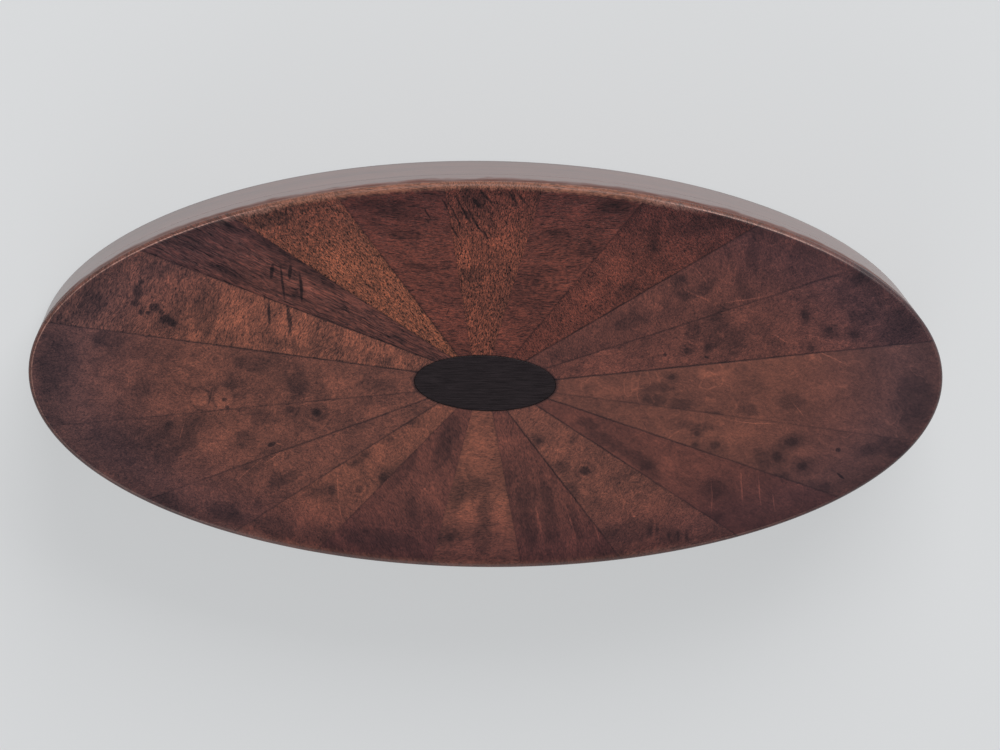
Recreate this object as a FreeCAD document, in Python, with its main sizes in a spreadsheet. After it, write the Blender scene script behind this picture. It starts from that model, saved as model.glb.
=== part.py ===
import FreeCAD
import Part
import Sketcher
import os

# Oval veneered box with a hinged lid, lying on its underside.
# +X runs along the length, the plain opening side faces -Y, the hinge is at +Y, +Z is up.
# The origin is the middle of the underside.

# Driving sizes, in millimetres, with angles in degrees
SIZES = (
    # The closed box
    ("box_length", 96.0),
    ("box_width", 41.1),
    ("base_height", 11.5),
    ("lid_height", 6.5),
    # Veneers, boards and walls
    ("face_veneer", 1.0),
    ("underside_veneer", 0.8),
    ("side_veneer", 0.8),
    ("wall", 3.2),
    ("lid_board", 2.2),
    ("base_board", 2.2),
    ("lining", 0.7),
    ("glue_line", 0.03),
    # Where the two strips of side veneer meet, from the oval's ends towards the hinge side
    ("strip_joint_setback", 2.0),
    # Rounded and eased edges
    ("face_arris", 0.6),
    ("underside_arris", 0.4),
    ("seam_setback", 0.08),
    ("lip_arris", 0.2),
    # Lip of the lining, which the lid closes over
    ("lip_rise", 1.8),
    ("lip_clearance", 0.25),
    # Ebony oval, a little off the middle and a little turned
    ("oval_length", 14.84),
    ("oval_width", 5.86),
    ("oval_setback", 0.7),
    ("oval_sidestep", 0.2),
    ("oval_turn", -1.5),
    # Brass hinge, let into the back of the seam
    ("barrel_radius", 0.8),
    ("pin_radius", 0.35),
    ("pin_clearance", 0.03),
    ("knuckle_gap", 0.15),
    ("leaf_width", 1.3),
    ("leaf_thickness", 0.5),
    ("nail_side", 0.55),
    ("nail_length", 2.2),
    ("lid_stop_angle", 100.0),
    # How far cutting shapes run past what they cut
    ("overrun", 4.0),
)

# The fan of wedges: where each joint leaves the ebony oval and where it meets the rim,
# as shares of a turn round each oval from the +X end towards the hinge side
JOINT_SHARES = (
    (0.063, 0.045),
    (0.106, 0.115),
    (0.140, 0.156),
    (0.188, 0.189),
    (0.224, 0.231),
    (0.268, 0.263),
    (0.301, 0.299),
    (0.376, 0.345),
    (0.422, 0.394),
    (0.459, 0.449),
    (0.534, 0.533),
    (0.598, 0.599),
    (0.658, 0.649),
    (0.692, 0.694),
    (0.738, 0.731),
    (0.783, 0.766),
    (0.814, 0.805),
    (0.830, 0.846),
    (0.874, 0.889),
    (0.948, 0.958),
)

# Each wedge is cut out this much longer than the way to the rim, as a share of that way
WEDGE_REACH_SHARE = 1.4

# Flats that make up a rounded edge
ROUND_STEPS = 3

# Knuckles along the barrel: the even ones belong to the base and the odd ones to the lid
KNUCKLE_COUNT = 5
BASE_KNUCKLES = range(0, KNUCKLE_COUNT, 2)
LID_KNUCKLES = range(1, KNUCKLE_COUNT, 2)

doc = FreeCAD.newDocument("oval_box")
sheet = doc.addObject("Spreadsheet::Sheet", "Sizes")
for row, (alias, number) in enumerate(SIZES, start=1):
    sheet.set(f"A{row}", alias)
    sheet.set(f"B{row}", str(number))
    sheet.setAlias(f"B{row}", alias)
doc.recompute()

# Heights
SEAM = "Sizes.base_height"
FACE_TOP = "(Sizes.base_height + Sizes.lid_height)"
FACE_UNDER = f"({FACE_TOP} - Sizes.face_veneer)"
LID_RIM_TOP = f"({FACE_UNDER} - Sizes.lid_board)"
BASE_FLOOR = "(Sizes.underside_veneer + Sizes.base_board)"

# Insets from the outside of the oval
CORE_INSET = "(Sizes.side_veneer + Sizes.glue_line)"
WALL_INSET = "(Sizes.side_veneer + Sizes.wall)"
LINING_INSET = f"({WALL_INSET} + Sizes.glue_line)"
WELL_INSET = f"({LINING_INSET} + Sizes.lining)"
LID_RIM_INSET = f"({LINING_INSET} - Sizes.lip_clearance)"
LID_LINING_INSET = f"({LID_RIM_INSET} + Sizes.glue_line)"

# Hinge: the barrel is flush with the back of the oval, so it is as long as the chord through its axis,
# and the groove round it is wide enough for the lid to open as far as its stop
HINGE_Y = "(Sizes.box_width / 2 - Sizes.barrel_radius)"
HINGE_LENGTH = "(Sizes.box_length * sqrt(1 - (1 - 2 * Sizes.barrel_radius / Sizes.box_width)^2))"
GROOVE_RADIUS = "(Sizes.barrel_radius / cos(Sizes.lid_stop_angle / 2))"
GROOVE_LENGTH = f"({HINGE_LENGTH} + 2 * Sizes.knuckle_gap)"
LEAF_LOW_Y = f"({HINGE_Y} - {GROOVE_RADIUS} - Sizes.leaf_width)"
NAIL_Y = f"({HINGE_Y} - {GROOVE_RADIUS} - Sizes.leaf_width / 2)"

ORIGIN_POINT = (-1, 1)
START, END, CENTRE = range(1, 4)


def value(expression):
    """Return what an expression in the sheet's sizes comes to."""
    result = sheet.evalExpression(str(expression))
    return float(getattr(result, "Value", result))


def new_body(label):
    """Add an empty body with its label."""
    body = doc.addObject("PartDesign::Body", label)
    body.Label = label
    return body


def new_sketch(body, role, name, lift="0"):
    """Add a sketch on one of the body's origin planes, lifted along the plane's normal."""
    sketch = body.newObject("Sketcher::SketchObject", f"{body.Label}_{name}")
    plane = next(item for item in body.Origin.OriginFeatures if item.Role == role)
    sketch.AttachmentSupport = [(plane, "")]
    sketch.MapMode = "FlatFace"
    sketch.setExpression("AttachmentOffset.Base.z", lift)
    return sketch


def bind(sketch, kind, *places, expression):
    """Add a sized constraint and tie it to an expression."""
    index = sketch.addConstraint(Sketcher.Constraint(kind, *places, value(expression)))
    sketch.setExpression(f"Constraints[{index}]", expression)


def place_point(sketch, item, point, x, y):
    """Tie a point of the sketch to its distances from the origin."""
    bind(sketch, "DistanceX", *ORIGIN_POINT, item, point, expression=x)
    bind(sketch, "DistanceY", *ORIGIN_POINT, item, point, expression=y)


def add_oval(sketch, length, width, x=None, y=None, turn=None):
    """Draw an ellipse by its length and width, at the origin or at a place and turn of its own."""
    middle = FreeCAD.Vector(value(x or "0"), value(y or "0"), 0)
    spin = FreeCAD.Rotation(FreeCAD.Vector(0, 0, 1), value(turn or "0"))
    tip = middle + spin.multVec(FreeCAD.Vector(value(length) / 2, 0, 0))
    side = middle + spin.multVec(FreeCAD.Vector(0, value(width) / 2, 0))
    oval = sketch.addGeometry(Part.Ellipse(tip, side, middle), False)
    sketch.exposeInternalGeometry(oval)
    long_axis, short_axis = oval + 1, oval + 2
    if x is None:
        sketch.addConstraint(Sketcher.Constraint("Coincident", oval, CENTRE, *ORIGIN_POINT))
        sketch.addConstraint(Sketcher.Constraint("Horizontal", long_axis))
        bind(sketch, "Distance", long_axis, expression=length)
    else:
        place_point(sketch, oval, CENTRE, x, y)
        tip_x = f"{x} + {length} / 2 * cos({turn})"
        tip_y = f"{y} + {length} / 2 * sin({turn})"
        place_point(sketch, long_axis, START, tip_x, tip_y)
    bind(sketch, "Distance", short_axis, expression=width)


def add_circle(sketch, x, y, radius):
    """Draw a circle at a place."""
    middle = FreeCAD.Vector(value(x), value(y), 0)
    circle = sketch.addGeometry(Part.Circle(middle, FreeCAD.Vector(0, 0, 1), value(radius)), False)
    place_point(sketch, circle, CENTRE, x, y)
    bind(sketch, "Radius", circle, expression=radius)


def add_polygon(sketch, corners):
    """Draw a closed outline of straight lines through corners that are each tied to a place."""
    points = [FreeCAD.Vector(value(x), value(y), 0) for x, y in corners]
    lines = [
        sketch.addGeometry(Part.LineSegment(point, points[(i + 1) % len(points)]), False)
        for i, point in enumerate(points)
    ]
    for i, line in enumerate(lines):
        sketch.addConstraint(Sketcher.Constraint("Coincident", lines[i - 1], END, line, START))
        place_point(sketch, line, START, *corners[i])


def add_rectangle(sketch, x_low, x_high, y_low, y_high):
    """Draw a rectangle between two pairs of sides."""
    add_polygon(sketch, ((x_low, y_low), (x_high, y_low), (x_high, y_high), (x_low, y_high)))


def pad(body, sketch, length, symmetric=False):
    """Raise a solid from a sketch."""
    feature = body.newObject("PartDesign::Pad", f"{sketch.Label}_pad")
    feature.Profile = sketch
    feature.SideType = "Symmetric" if symmetric else "One side"
    feature.setExpression("Length", length)
    doc.recompute()
    return feature


def pocket(body, sketch, length, symmetric=False, upwards=False):
    """Cut a sketch out of the body, and stop if the cut takes nothing away."""
    before = body.Shape.Volume
    feature = body.newObject("PartDesign::Pocket", f"{sketch.Label}_pocket")
    feature.Profile = sketch
    feature.SideType = "Symmetric" if symmetric else "One side"
    feature.Reversed = upwards
    feature.setExpression("Length", length)
    doc.recompute()
    if body.Shape.Volume >= before:
        raise RuntimeError(f"{sketch.Label} cuts nothing")
    return feature


def oval_size(inset):
    """Return the length and width of the box's oval, drawn in by an inset all round."""
    return f"(Sizes.box_length - 2 * {inset})", f"(Sizes.box_width - 2 * {inset})"


def oval_plate(label, inset, low, thickness):
    """Make a flat oval plate."""
    body = new_body(label)
    outline = new_sketch(body, "XY_Plane", "outline", low)
    add_oval(outline, *oval_size(inset))
    pad(body, outline, thickness)
    return body


def quarter_round(flat, radius, inset, rising):
    """Return the heights and insets of a rounded edge, from the lowest, above or below a height."""
    angles = [90 * step / ROUND_STEPS for step in range(ROUND_STEPS + 1)]
    sign = "+" if rising else "-"
    steps = [
        (f"({flat} {sign} {radius} * sin({angle}))", f"({inset} + {radius} * (1 - cos({angle})))")
        for angle in angles
    ]
    return steps if rising else steps[::-1]


def oval_loft(label, levels):
    """Make an oval solid that changes its inset from level to level."""
    body = new_body(label)
    outlines = []
    for number, (height, inset) in enumerate(levels):
        outline = new_sketch(body, "XY_Plane", f"level_{number}", height)
        add_oval(outline, *oval_size(inset))
        outlines.append(outline)
    loft = body.newObject("PartDesign::AdditiveLoft", f"{label}_loft")
    loft.Profile = outlines[0]
    loft.Sections = outlines[1:]
    loft.Ruled = True
    doc.recompute()
    return body


def oval_ring(label, outer_inset, inner_inset, low, height):
    """Make an upright oval ring between two insets."""
    body = new_body(label)
    outline = new_sketch(body, "XY_Plane", "outline", low)
    add_oval(outline, *oval_size(outer_inset))
    add_oval(outline, *oval_size(inner_inset))
    pad(body, outline, height)
    return body


def cut_hinge_groove(body):
    """Cut the round groove along the back of the seam that the hinge barrel turns in."""
    section = new_sketch(body, "YZ_Plane", "hinge_groove")
    add_circle(section, HINGE_Y, SEAM, GROOVE_RADIUS)
    pocket(body, section, GROOVE_LENGTH, symmetric=True)


def knuckle_x(number):
    """Return the place along the barrel of one knuckle's middle."""
    middle_share = (number + 0.5) / KNUCKLE_COUNT - 0.5
    return f"{HINGE_LENGTH} * {middle_share}"


def add_nail_squares(sketch, knuckles):
    """Draw the square shanks of the cut nails, one beside each knuckle."""
    half = "Sizes.nail_side / 2"
    for number in knuckles:
        x = knuckle_x(number)
        add_rectangle(sketch, f"{x} - {half}", f"{x} + {half}", f"{NAIL_Y} - {half}", f"{NAIL_Y} + {half}")


def cut_leaf_seat(body, knuckles, upwards):
    """Let a hinge leaf and its nails into the wood at the seam."""
    seat = new_sketch(body, "XY_Plane", "leaf_seat", SEAM)
    add_rectangle(seat, f"-{HINGE_LENGTH} / 2", f"{HINGE_LENGTH} / 2", LEAF_LOW_Y, HINGE_Y)
    pocket(body, seat, "Sizes.leaf_thickness", upwards=upwards)
    holes = new_sketch(body, "XY_Plane", "nail_holes", SEAM)
    add_nail_squares(holes, knuckles)
    pocket(body, holes, "Sizes.nail_length", upwards=upwards)


def hinge_leaf(label, knuckles, low):
    """Make one leaf of the hinge: a flat flange, its knuckles and the bore for the pin."""
    body = new_body(label)
    flange = new_sketch(body, "XY_Plane", "flange", low)
    add_rectangle(flange, f"-{HINGE_LENGTH} / 2", f"{HINGE_LENGTH} / 2", LEAF_LOW_Y, HINGE_Y)
    pad(body, flange, "Sizes.leaf_thickness")
    barrel = new_sketch(body, "YZ_Plane", "barrel")
    add_circle(barrel, HINGE_Y, SEAM, "Sizes.barrel_radius")
    pad(body, barrel, HINGE_LENGTH, symmetric=True)
    gaps = new_sketch(body, "XY_Plane", "knuckle_gaps", SEAM)
    for number in range(KNUCKLE_COUNT):
        if number in knuckles:
            continue
        half = f"({HINGE_LENGTH} / {2 * KNUCKLE_COUNT} + Sizes.knuckle_gap / 2)"
        add_rectangle(
            gaps,
            f"{knuckle_x(number)} - {half}",
            f"{knuckle_x(number)} + {half}",
            f"{HINGE_Y} - {GROOVE_RADIUS}",
            f"{HINGE_Y} + {GROOVE_RADIUS}",
        )
    pocket(body, gaps, f"2 * {GROOVE_RADIUS}", symmetric=True)
    bore = new_sketch(body, "YZ_Plane", "bore")
    add_circle(bore, HINGE_Y, SEAM, "Sizes.pin_radius + Sizes.pin_clearance")
    pocket(body, bore, GROOVE_LENGTH, symmetric=True)
    holes = new_sketch(body, "XY_Plane", "nail_holes", SEAM)
    add_nail_squares(holes, knuckles)
    pocket(body, holes, "2 * Sizes.leaf_thickness", symmetric=True)
    return body


def hinge_nails(label, knuckles, low):
    """Make the cut nails that hold one leaf, as a group of separate solids."""
    body = new_body(label)
    body.AllowCompound = True
    shanks = new_sketch(body, "XY_Plane", "shanks", low)
    add_nail_squares(shanks, knuckles)
    pad(body, shanks, "Sizes.nail_length")
    return body


def hinge_pin():
    """Make the pin through all the knuckles."""
    pin = doc.addObject("Part::Cylinder", "hinge_pin")
    pin.Label = "hinge_pin"
    pin.Placement.Rotation = FreeCAD.Rotation(FreeCAD.Vector(0, 0, 1), FreeCAD.Vector(1, 0, 0))
    pin.setExpression("Radius", "Sizes.pin_radius")
    pin.setExpression("Height", HINGE_LENGTH)
    pin.setExpression("Placement.Base.x", f"-{HINGE_LENGTH} / 2")
    pin.setExpression("Placement.Base.y", HINGE_Y)
    pin.setExpression("Placement.Base.z", SEAM)
    return pin


def half_strip(label, ring, front):
    """Cut the front or the back strip out of a ring of side veneer: the two meet near the oval's ends."""
    half = doc.addObject("Part::Box", f"{label}_half")
    half.setExpression("Length", "Sizes.box_length + 2 * Sizes.overrun")
    half.setExpression("Width", "Sizes.box_width + Sizes.overrun")
    half.setExpression("Height", f"{FACE_TOP} + 2 * Sizes.overrun")
    half.setExpression("Placement.Base.x", "-Sizes.box_length / 2 - Sizes.overrun")
    back_low = "Sizes.strip_joint_setback"
    front_low = f"{back_low} - Sizes.box_width - Sizes.overrun"
    half.setExpression("Placement.Base.y", front_low if front else back_low)
    half.setExpression("Placement.Base.z", "-Sizes.overrun")
    strip = doc.addObject("Part::Common", label)
    strip.Label = label
    strip.Base = ring
    strip.Tool = half
    return strip


def side_veneer(name, low, height):
    """Make the two strips of veneer round the lid or the base, set back a little from the seam."""
    ring = oval_ring(f"{name}_side_ring", "0", "Sizes.side_veneer", low, height)
    cut_hinge_groove(ring)
    front = half_strip(f"{name}_side_veneer_front", ring, True)
    back = half_strip(f"{name}_side_veneer_back", ring, False)
    return [front, back]


def oval_point(share):
    """Return a point on the rim of the ebony oval, at a share of a turn."""
    along = f"Sizes.oval_length / 2 * cos(360 * {share})"
    across = f"Sizes.oval_width / 2 * sin(360 * {share})"
    return (
        f"(Sizes.oval_sidestep + {along} * cos(Sizes.oval_turn) - {across} * sin(Sizes.oval_turn))",
        f"(Sizes.oval_setback + {along} * sin(Sizes.oval_turn) + {across} * cos(Sizes.oval_turn))",
    )


def rim_point(share):
    """Return a point on the outside of the box, at a share of a turn."""
    return f"Sizes.box_length / 2 * cos(360 * {share})", f"Sizes.box_width / 2 * sin(360 * {share})"


def joint_ends(shares):
    """Return both ends of a joint of the fan, from the ebony oval to past the rim."""
    inner = oval_point(shares[0])
    rim = rim_point(shares[1])
    outer = tuple(f"{start} + ({end} - {start}) * {WEDGE_REACH_SHARE}" for start, end in zip(inner, rim))
    return inner, outer


def fan_blank():
    """Make the whole face veneer, rounded at its rim and pierced for the ebony oval."""
    rim = quarter_round(f"{FACE_TOP} - Sizes.face_arris", "Sizes.face_arris", "0", rising=True)
    body = oval_loft("face_blank", [(FACE_UNDER, "0")] + rim)
    hole = new_sketch(body, "XY_Plane", "oval_hole", FACE_TOP)
    fitted = [f"(Sizes.{size} + 2 * Sizes.glue_line)" for size in ("oval_length", "oval_width")]
    add_oval(hole, *fitted, "Sizes.oval_sidestep", "Sizes.oval_setback", "Sizes.oval_turn")
    pocket(body, hole, "2 * Sizes.face_veneer", symmetric=True)
    return body


def face_wedges():
    """Cut the face veneer into its wedges along the straight joints of the fan."""
    blank = fan_blank()
    wedges = []
    for number, shares in enumerate(JOINT_SHARES, start=1):
        label = f"face_wedge_{number:02d}"
        inner, outer = joint_ends(shares)
        next_inner, next_outer = joint_ends(JOINT_SHARES[number % len(JOINT_SHARES)])
        cutter = new_body(f"{label}_cutter")
        outline = new_sketch(cutter, "XY_Plane", "outline", FACE_UNDER)
        add_polygon(outline, (inner, outer, next_outer, next_inner))
        pad(cutter, outline, "Sizes.face_veneer")
        wedge = doc.addObject("Part::Common", label)
        wedge.Label = label
        wedge.Base = blank
        wedge.Tool = cutter
        wedges.append(wedge)
    return wedges


def centre_oval():
    """Make the ebony oval in the middle of the fan."""
    body = new_body("face_centre_oval")
    outline = new_sketch(body, "XY_Plane", "outline", FACE_UNDER)
    place = ("Sizes.oval_sidestep", "Sizes.oval_setback", "Sizes.oval_turn")
    add_oval(outline, "Sizes.oval_length", "Sizes.oval_width", *place)
    pad(body, outline, "Sizes.face_veneer")
    return body


def lid_parts():
    """Make everything that swings with the lid."""
    rim = oval_ring("lid_rim", CORE_INSET, LID_RIM_INSET, SEAM, f"{LID_RIM_TOP} - {SEAM}")
    cut_hinge_groove(rim)
    cut_leaf_seat(rim, LID_KNUCKLES, upwards=True)
    side_low = f"({SEAM} + Sizes.seam_setback)"
    return face_wedges() + side_veneer("lid", side_low, f"{FACE_UNDER} - {side_low}") + [
        centre_oval(),
        oval_plate("lid_board", CORE_INSET, LID_RIM_TOP, "Sizes.lid_board"),
        rim,
        oval_plate("lid_lining", LID_LINING_INSET, f"{LID_RIM_TOP} - Sizes.lining", "Sizes.lining"),
        hinge_leaf("hinge_lid_leaf", LID_KNUCKLES, SEAM),
        hinge_nails("hinge_lid_nails", LID_KNUCKLES, SEAM),
    ]


def base_parts():
    """Make everything that stays with the base."""
    edge = quarter_round("Sizes.underside_arris", "Sizes.underside_arris", "0", rising=False)
    underside = oval_loft("base_veneer", edge + [("Sizes.underside_veneer", "0")])
    wall = oval_ring("base_wall", CORE_INSET, WALL_INSET, BASE_FLOOR, f"{SEAM} - {BASE_FLOOR}")
    cut_hinge_groove(wall)
    cut_leaf_seat(wall, BASE_KNUCKLES, upwards=False)
    lining_low = f"({BASE_FLOOR} + Sizes.lining)"
    lip_top = f"({SEAM} + Sizes.lip_rise)"
    lip = quarter_round(f"{lip_top} - Sizes.lip_arris", "Sizes.lip_arris", LINING_INSET, rising=True)
    lining_wall = oval_loft("lining_wall", [(lining_low, LINING_INSET)] + lip)
    well = new_sketch(lining_wall, "XY_Plane", "well", lip_top)
    add_oval(well, *oval_size(WELL_INSET))
    pocket(lining_wall, well, f"{lip_top} - {lining_low}")
    side_height = f"{SEAM} - Sizes.seam_setback - Sizes.underside_veneer"
    return side_veneer("base", "Sizes.underside_veneer", side_height) + [
        underside,
        oval_plate("base_board", CORE_INSET, "Sizes.underside_veneer", "Sizes.base_board"),
        wall,
        oval_plate("lining_floor", LINING_INSET, BASE_FLOOR, "Sizes.lining"),
        lining_wall,
        hinge_leaf("hinge_base_leaf", BASE_KNUCKLES, f"{SEAM} - Sizes.leaf_thickness"),
        hinge_nails("hinge_base_nails", BASE_KNUCKLES, f"{SEAM} - Sizes.nail_length"),
        hinge_pin(),
    ]


def write_parts(parts):
    """Check every object and every shape, then write one file for each sub-part."""
    failed = [item.Label for item in doc.Objects if {"Invalid", "Error"} & set(item.State)]
    failed += [part.Label for part in parts if part.Shape.isNull() or not part.Shape.isValid()]
    failed += [part.Label for part in parts if not part.Shape.Solids]
    if failed:
        raise RuntimeError("failed: " + ", ".join(failed))
    os.makedirs("parts", exist_ok=True)
    for part in parts:
        part.Shape.exportStep(f"parts/{part.Label}.step")
        print(part.Label, len(part.Shape.Solids), round(part.Shape.Volume, 3))


sub_parts = lid_parts() + base_parts()
doc.recompute()
write_parts(sub_parts)
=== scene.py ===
"""Dresses the oval veneered box, lights it and sets the camera.

Lengths are in millimetres in the box's own frame: +X runs along the oval, the hinge is towards +Y, and +Z
goes up through the lid's face. Blender's metres come in only where a mesh, lamp or camera is made.
"""

from __future__ import annotations

import logging
import math
from contextlib import contextmanager
from dataclasses import dataclass, field, replace
from enum import Enum
from functools import partial
from typing import Callable, Iterator, Mapping, Sequence

import bpy
from mathutils import Matrix, Vector


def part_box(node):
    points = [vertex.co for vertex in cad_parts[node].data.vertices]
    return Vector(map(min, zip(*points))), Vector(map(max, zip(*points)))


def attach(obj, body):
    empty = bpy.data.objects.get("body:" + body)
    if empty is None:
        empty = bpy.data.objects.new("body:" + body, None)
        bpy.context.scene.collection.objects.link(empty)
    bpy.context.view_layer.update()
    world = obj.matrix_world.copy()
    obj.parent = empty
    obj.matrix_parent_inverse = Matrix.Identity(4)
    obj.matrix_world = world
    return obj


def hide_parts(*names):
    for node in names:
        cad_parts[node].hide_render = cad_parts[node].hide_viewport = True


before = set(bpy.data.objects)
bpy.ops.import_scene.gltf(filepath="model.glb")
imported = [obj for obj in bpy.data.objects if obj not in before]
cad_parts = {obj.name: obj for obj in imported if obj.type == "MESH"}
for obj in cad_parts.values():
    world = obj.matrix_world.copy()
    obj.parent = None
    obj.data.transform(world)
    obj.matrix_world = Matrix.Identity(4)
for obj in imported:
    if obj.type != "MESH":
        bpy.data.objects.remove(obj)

LOG = logging.getLogger("oval_box")
MM = 0.001

# Points round each oval, and the sharpest crease that is shaded as one smooth surface
OVAL_POINTS = 360
SMOOTH_ANGLE = math.radians(32.0)
# How near two points are before they are one
WELD = 0.001
# A size so large that a place's height counts for nothing beside it
FLAT = 1e6

Point = Vector
Socket = bpy.types.NodeSocket
Given = float | Sequence[float] | Socket
Adder = Callable[..., Socket]


@dataclass(frozen=True)
class Oval:
    """A level ellipse: its length, width, middle and turn in degrees."""

    length: float
    width: float
    x: float = 0.0
    y: float = 0.0
    turn: float = 0.0

    @classmethod
    def of_node(cls, node: str) -> Oval:
        """Return the oval that a CAD node fills, seen from above.

        Args:
            node: The node's name.
        Returns:
            The oval of its length and width, at the origin.
        """
        low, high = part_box(node)
        return cls((high.x - low.x) / MM, (high.y - low.y) / MM)

    def inset(self, distance: float) -> Oval:
        """Return the same oval drawn in by a distance."""
        return replace(self, length=self.length - 2 * distance, width=self.width - 2 * distance)

    def at_share(self, share: float) -> Point:
        """Return the point on the oval at a share of a turn from its +X end towards +Y.

        Args:
            share: The share of a turn, from 0 to 1.
        Returns:
            The point, level with the origin.
        """
        angle = math.tau * share
        along = Vector((self.length / 2 * math.cos(angle), self.width / 2 * math.sin(angle), 0.0))
        return Matrix.Rotation(math.radians(self.turn), 3, "Z") @ along + Vector((self.x, self.y, 0.0))

    def reach(self, point: Point) -> float:
        """Return how far out a point is, as a share of the way from the middle to the oval.

        Args:
            point: The point.
        Returns:
            The share, which is 1 on the oval.
        """
        flat = Vector((point.x - self.x, point.y - self.y, 0.0))
        flat.rotate(Matrix.Rotation(-math.radians(self.turn), 3, "Z"))
        return math.hypot(flat.x / (self.length / 2), flat.y / (self.width / 2))


@contextmanager
def editing(piece: bpy.types.Object) -> Iterator[None]:
    """Open one piece in edit mode, by its edges, for as long as the block runs.

    Args:
        piece: The piece to edit.
    Returns:
        An iterator that stops once, while the piece is open.
    """
    bpy.ops.object.select_all(action="DESELECT")
    piece.select_set(True)
    bpy.context.view_layer.objects.active = piece
    bpy.context.tool_settings.mesh_select_mode = (False, True, False)
    bpy.ops.object.mode_set(mode="EDIT")
    yield
    bpy.ops.object.mode_set(mode="OBJECT")


def place_oval(outline: Oval, height: float) -> None:
    """Squeeze the circle that is selected into an oval, turn it and bring it to its place.

    Args:
        outline: The oval to make of it.
        height: Its height.
    """
    bpy.ops.transform.resize(value=(1.0, outline.width / outline.length, 1.0), center_override=(0, 0, 0))
    # With no window the operator turns clockwise
    bpy.ops.transform.rotate(value=-math.radians(outline.turn), orient_axis="Z", center_override=(0, 0, 0))
    bpy.ops.transform.translate(value=Vector((outline.x, outline.y, height)) * MM)


def raise_oval(name: str, outlines: Sequence[Oval], low: float, high: float) -> bpy.types.Object:
    """Raise a solid from one oval, or from the ring between two.

    Args:
        name: The piece's name.
        outlines: The outer oval and, for a ring, the inner one.
        low: The height of its underside.
        high: The height of its top.
    Returns:
        The new piece.
    """
    fill = "NGON" if len(outlines) == 1 else "NOTHING"
    bpy.ops.object.select_all(action="DESELECT")
    bpy.ops.mesh.primitive_circle_add(
        vertices=OVAL_POINTS, radius=outlines[0].length / 2 * MM, fill_type=fill
    )
    piece = bpy.context.active_object
    piece.name = name
    piece.data.name = name
    with editing(piece):
        bpy.ops.mesh.select_all(action="SELECT")
        place_oval(outlines[0], low)
        for outline in outlines[1:]:
            bpy.ops.mesh.primitive_circle_add(vertices=OVAL_POINTS, radius=outline.length / 2 * MM)
            place_oval(outline, low)
            bpy.ops.mesh.select_all(action="SELECT")
            bpy.ops.mesh.bridge_edge_loops()
        bpy.ops.mesh.select_all(action="SELECT")
        bpy.ops.mesh.extrude_region_move(TRANSFORM_OT_translate={"value": (0, 0, (high - low) * MM)})
        bpy.ops.mesh.select_all(action="SELECT")
        bpy.ops.mesh.normals_make_consistent(inside=False)
    return piece


def ease_edges(piece: bpy.types.Object, chosen: Callable[[Point], bool], width: float, steps: int) -> None:
    """Round the edges whose two ends are both chosen.

    Args:
        piece: The piece to work on.
        chosen: Says whether a point lies on such an edge.
        width: How far the rounding reaches on each side.
        steps: How many flats make up the rounding.
    """
    mesh = piece.data
    for group in (mesh.polygons, mesh.vertices):
        group.foreach_set("select", [False] * len(group))
    for edge in mesh.edges:
        edge.select = all(chosen(mesh.vertices[end].co / MM) for end in edge.vertices)
    with editing(piece):
        bpy.ops.mesh.bevel(offset=width * MM, segments=steps, affect="EDGES")


def keep_side(piece: bpy.types.Object, point: Point, normal: Vector) -> None:
    """Saw a piece through and keep the part that the normal points into.

    Args:
        piece: The piece to saw.
        point: A point of the cut.
        normal: The direction of the part that stays.
    """
    with editing(piece):
        bpy.ops.mesh.select_all(action="SELECT")
        bpy.ops.mesh.bisect(
            plane_co=point * MM, plane_no=normal, use_fill=True, clear_inner=True, threshold=WELD * MM
        )


def cut_away(piece: bpy.types.Object, cutter: bpy.types.Object) -> None:
    """Take a cutter's shape out of a piece and throw the cutter away.

    Args:
        piece: The piece to cut.
        cutter: The solid to take out of it.
    """
    bpy.ops.object.select_all(action="DESELECT")
    piece.select_set(True)
    bpy.context.view_layer.objects.active = piece
    bpy.ops.object.modifier_add(type="BOOLEAN")
    cut = piece.modifiers[-1]
    cut.operation = "DIFFERENCE"
    cut.solver = "EXACT"
    cut.object = cutter
    bpy.ops.object.modifier_apply(modifier=cut.name)
    bpy.data.meshes.remove(cutter.data)


def copy_piece(piece: bpy.types.Object, name: str) -> bpy.types.Object:
    """Copy a piece with a mesh of its own.

    Args:
        piece: The piece to copy.
        name: The copy's name.
    Returns:
        The copy.
    """
    bpy.ops.object.select_all(action="DESELECT")
    piece.select_set(True)
    bpy.context.view_layer.objects.active = piece
    bpy.ops.object.duplicate(linked=False)
    copy = bpy.context.active_object
    copy.name = name
    copy.data.name = name
    return copy


def hand_over(piece: bpy.types.Object, body: str, node: str, finish: bpy.types.Material) -> None:
    """Clean a finished mesh, dress it and let it stand for its CAD node.

    Args:
        piece: The finished piece.
        body: The body that it moves with.
        node: The CAD node that it stands for.
        finish: Its material.
    """
    with editing(piece):
        bpy.ops.mesh.select_all(action="SELECT")
        bpy.ops.mesh.remove_doubles(threshold=WELD * MM)
        bpy.ops.mesh.normals_make_consistent(inside=False)
    bpy.ops.object.shade_smooth_by_angle(angle=SMOOTH_ANGLE)
    piece.data.materials.append(finish)
    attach(piece, body)
    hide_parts(node)
    LOG.info("%s stands for %s with %d faces", piece.name, node, len(piece.data.polygons))


def from_hex(code: str) -> tuple[float, float, float, float]:
    """Turn an sRGB colour into Blender's linear one.

    Args:
        code: Six hex digits, such as "8a5a44".
    Returns:
        Red, green, blue and full opacity.
    """
    shares = [int(code[i : i + 2], 16) / 255 for i in (0, 2, 4)]
    linear = [s / 12.92 if s <= 0.04045 else ((s + 0.055) / 1.055) ** 2.4 for s in shares]
    return (linear[0], linear[1], linear[2], 1.0)


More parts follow.
